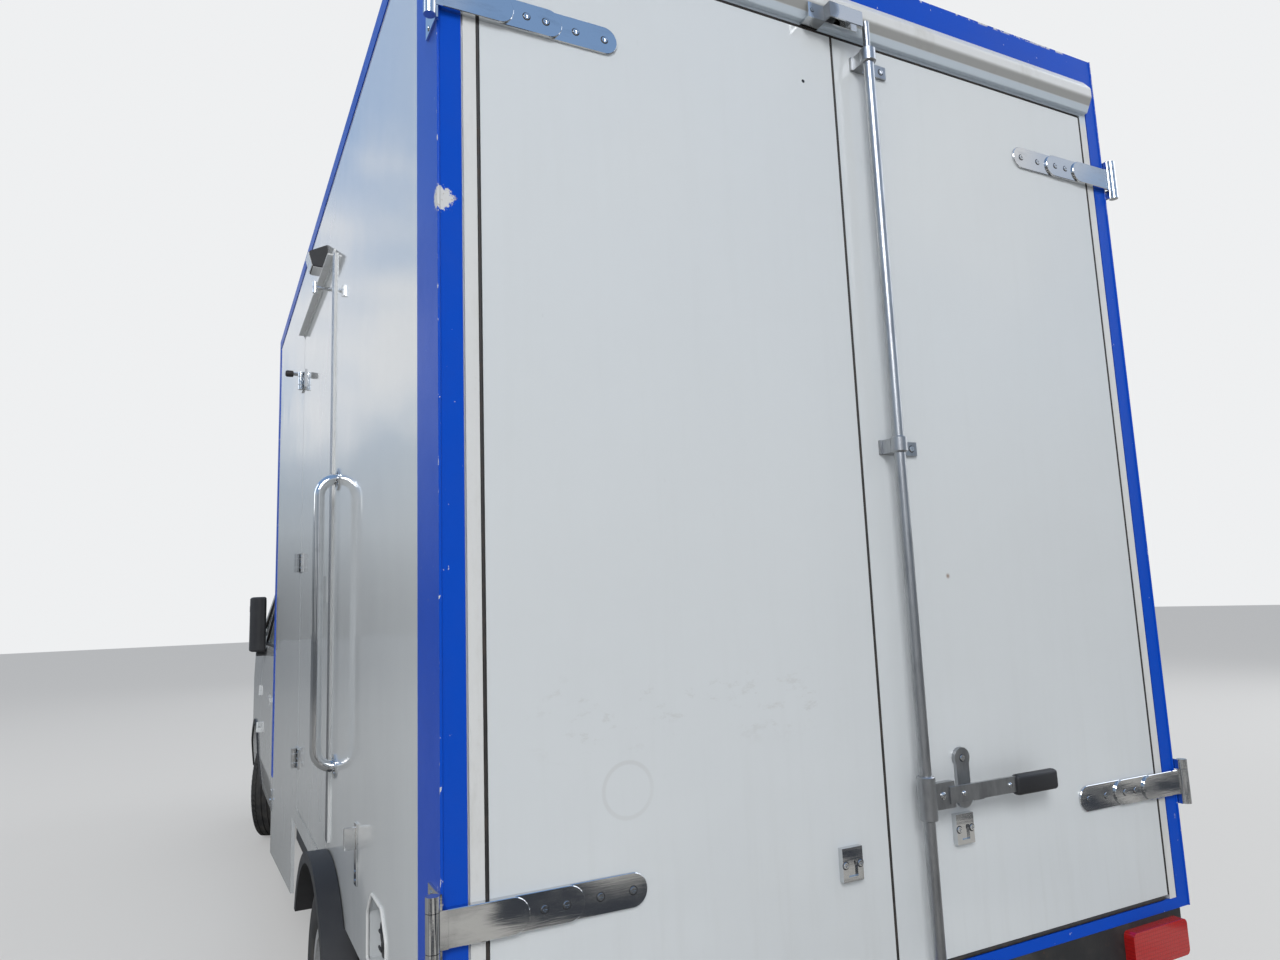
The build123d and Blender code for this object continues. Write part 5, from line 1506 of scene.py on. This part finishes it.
class TRUCK_OT_stage(bpy.types.Operator):
    """Sets a pale floor and backdrop, soft lamps and the camera behind the truck's left corner."""
    bl_idname = "truck.stage"
    bl_label = "Set the stage"

    def execute(self, context):
        scene = context.scene
        scene.view_settings.view_transform = "Standard"
        reach = 60.0
        floor = bpy.data.meshes.new("stage_floor")
        floor.from_pydata([(-reach, -reach, 0), (reach, -reach, 0), (reach, reach, 0), (-reach, reach, 0)],
                          [], [(0, 1, 2, 3)])
        floor.materials.append(self.pale_floor())
        sheet = bpy.data.objects.new("stage_floor", floor)
        scene.collection.objects.link(sheet)
        scene.world = self.sky()
        for name, spot, aim, power, size in (
                ("lamp_rear", (-12.5, 5.5, 8.5), (-2.0, 0.0, 1.5), 980.0, 5.0),
                ("lamp_left", (3.0, 12.0, 7.0), (0.5, 0.0, 1.2), 290.0, 8.0),
                ("lamp_right", (-3.0, -12.0, 7.5), (-0.5, 0.0, 1.2), 560.0, 10.0),
                ("lamp_front", (11.0, -5.0, 8.0), (1.5, 0.0, 1.2), 230.0, 13.0)):
            light = bpy.data.lights.new(name, "AREA")
            light.energy = power
            light.size = size
            lamp = bpy.data.objects.new(name, light)
            lamp.location = spot
            lamp.rotation_euler = (Vector(aim) - Vector(spot)).to_track_quat("-Z", "Y").to_euler()
            scene.collection.objects.link(lamp)
        scene.camera = self.camera()
        scene.collection.objects.link(scene.camera)
        return {"FINISHED"}

    def pale_floor(self):
        """Pale to the camera; in mirrors, patchy asphalt behind the truck."""
        pale = Finish("stage_pale")
        shown = pale.wire("ShaderNodeLightPath", output="Is Camera Ray")
        mirrored = pale.wire("ShaderNodeLightPath", output="Is Glossy Ray")
        patches = pale.patches(0.47, 0.56, 1.3, 3.0, 0.5)
        behind = 1 - pale.step(pale.axes()[0], rear_face - 1.2, rear_face - 0.4)
        ground = pale.mix((0.02, 0.021, 0.024), (0.5, 0.48, 0.44), patches)
        ground = pale.mix((0.3, 0.3, 0.29), ground, behind)
        sheen = pale.wire("ShaderNodeBsdfPrincipled", None,
                          {"Base Color": pale.mix((0.62, 0.62, 0.61), ground, mirrored), "Roughness": 0.9})
        glow = pale.wire("ShaderNodeEmission", None, {"Color": (0.8, 0.8, 0.8, 1.0), "Strength": 1.0})
        both = pale.wire("ShaderNodeMixShader", None, {0: shown * 0.35, 1: sheen, 2: glow})
        pale.node("ShaderNodeOutputMaterial", None, {0: both})
        return pale.material

    def sky(self):
        """Soft daylight; a pale page to the camera, and a sky with clouds in mirrors."""
        world = bpy.data.worlds.new("studio")
        world.use_nodes = True
        sky = Board()
        sky.tree = world.node_tree
        sky.tree.nodes.clear()
        direction = sky.wire("ShaderNodeTexCoord", output="Generated")
        way = sky.wire("ShaderNodeSeparateXYZ", None, {0: direction}, 2)
        shades = sky.wire("ShaderNodeValToRGB", {"stops": (
            (0.0, (0.12, 0.13, 0.14)), (0.1, (0.32, 0.36, 0.4)),
            (0.45, (0.4, 0.52, 0.68)), (1.0, (0.26, 0.42, 0.7)))}, {0: sky.step(way, -0.02, 0.55)})
        cloud = sky.wire("ShaderNodeTexNoise", None,
                         {"Vector": direction, "Scale": 2.6, "Detail": 4.0, "Roughness": 0.55})
        shades = sky.wire("ShaderNodeMix", {"data_type": "RGBA"},
                          {0: sky.step(cloud, 0.54, 0.68), 6: shades, 7: (0.84, 0.85, 0.87, 1.0)}, 2)
        light, mirrored, page = (
            sky.wire("ShaderNodeBackground", None, {"Color": tint, "Strength": strength})
            for tint, strength in (((0.88, 0.9, 0.93, 1.0), 0.52), (shades, 1.0),
                                   ((0.86, 0.87, 0.88, 1.0), 1.0)))
        for ray, other in (("Is Glossy Ray", mirrored), ("Is Camera Ray", page)):
            share = sky.wire("ShaderNodeLightPath", output=ray)
            light = sky.wire("ShaderNodeMixShader", None, {0: share, 1: light, 2: other})
        sky.node("ShaderNodeOutputWorld", None, {0: light})
        return world

    def camera(self):
        """The photo's view, fitted to the body's straight edges."""
        view = bpy.data.cameras.new("view")
        view.sensor_width = 36.0
        view.lens = 24.515
        view.clip_start = 0.05
        camera = bpy.data.objects.new("view", view)
        right = Vector((-0.447742, -0.893395, -0.037055)).normalized()
        forward = Vector((0.882647, -0.448226, 0.14152)).normalized()
        turn = Matrix((right, right.cross(forward), -forward)).transposed()
        camera.matrix_world = Matrix.Translation(at(-1.5895, 1.4123, 1.51215)) @ turn.to_4x4()
        return camera


class TRUCK_PT_panel(bpy.types.Panel):
    """Lists the sizes and colours and the steps that dress the truck."""
    bl_idname = "TRUCK_PT_panel"
    bl_label = "Box truck"
    bl_space_type = "VIEW_3D"
    bl_region_type = "UI"
    bl_category = "Truck"

    def draw(self, context):
        for group in (context.scene.truck_body, context.scene.truck_cab, context.scene.truck_wheels):
            for name in group.__annotations__:
                self.layout.prop(group, name)
        for step in steps:
            self.layout.operator(step.bl_idname)


steps = (TRUCK_OT_paint, TRUCK_OT_tyres, TRUCK_OT_hubs, TRUCK_OT_screws, TRUCK_OT_rear, TRUCK_OT_side,
         TRUCK_OT_roof, TRUCK_OT_cab_trim, TRUCK_OT_seats, TRUCK_OT_dash, TRUCK_OT_door_cards,
         TRUCK_OT_load_space, TRUCK_OT_stage)
groups = (("truck_body", BodyLooks), ("truck_cab", CabLooks), ("truck_wheels", WheelLooks))


def register():
    for name, group in groups:
        bpy.utils.register_class(group)
        setattr(bpy.types.Scene, name, bpy.props.PointerProperty(type=group))
    for step in steps:
        bpy.utils.register_class(step)
    bpy.utils.register_class(TRUCK_PT_panel)


def unregister():
    bpy.utils.unregister_class(TRUCK_PT_panel)
    for step in reversed(steps):
        bpy.utils.unregister_class(step)
    for name, group in groups:
        delattr(bpy.types.Scene, name)
        bpy.utils.unregister_class(group)


def main():
    register()
    for step in steps:
        area, name = step.bl_idname.split(".")
        getattr(getattr(bpy.ops, area), name)()


if __name__ == "__main__":
    main()
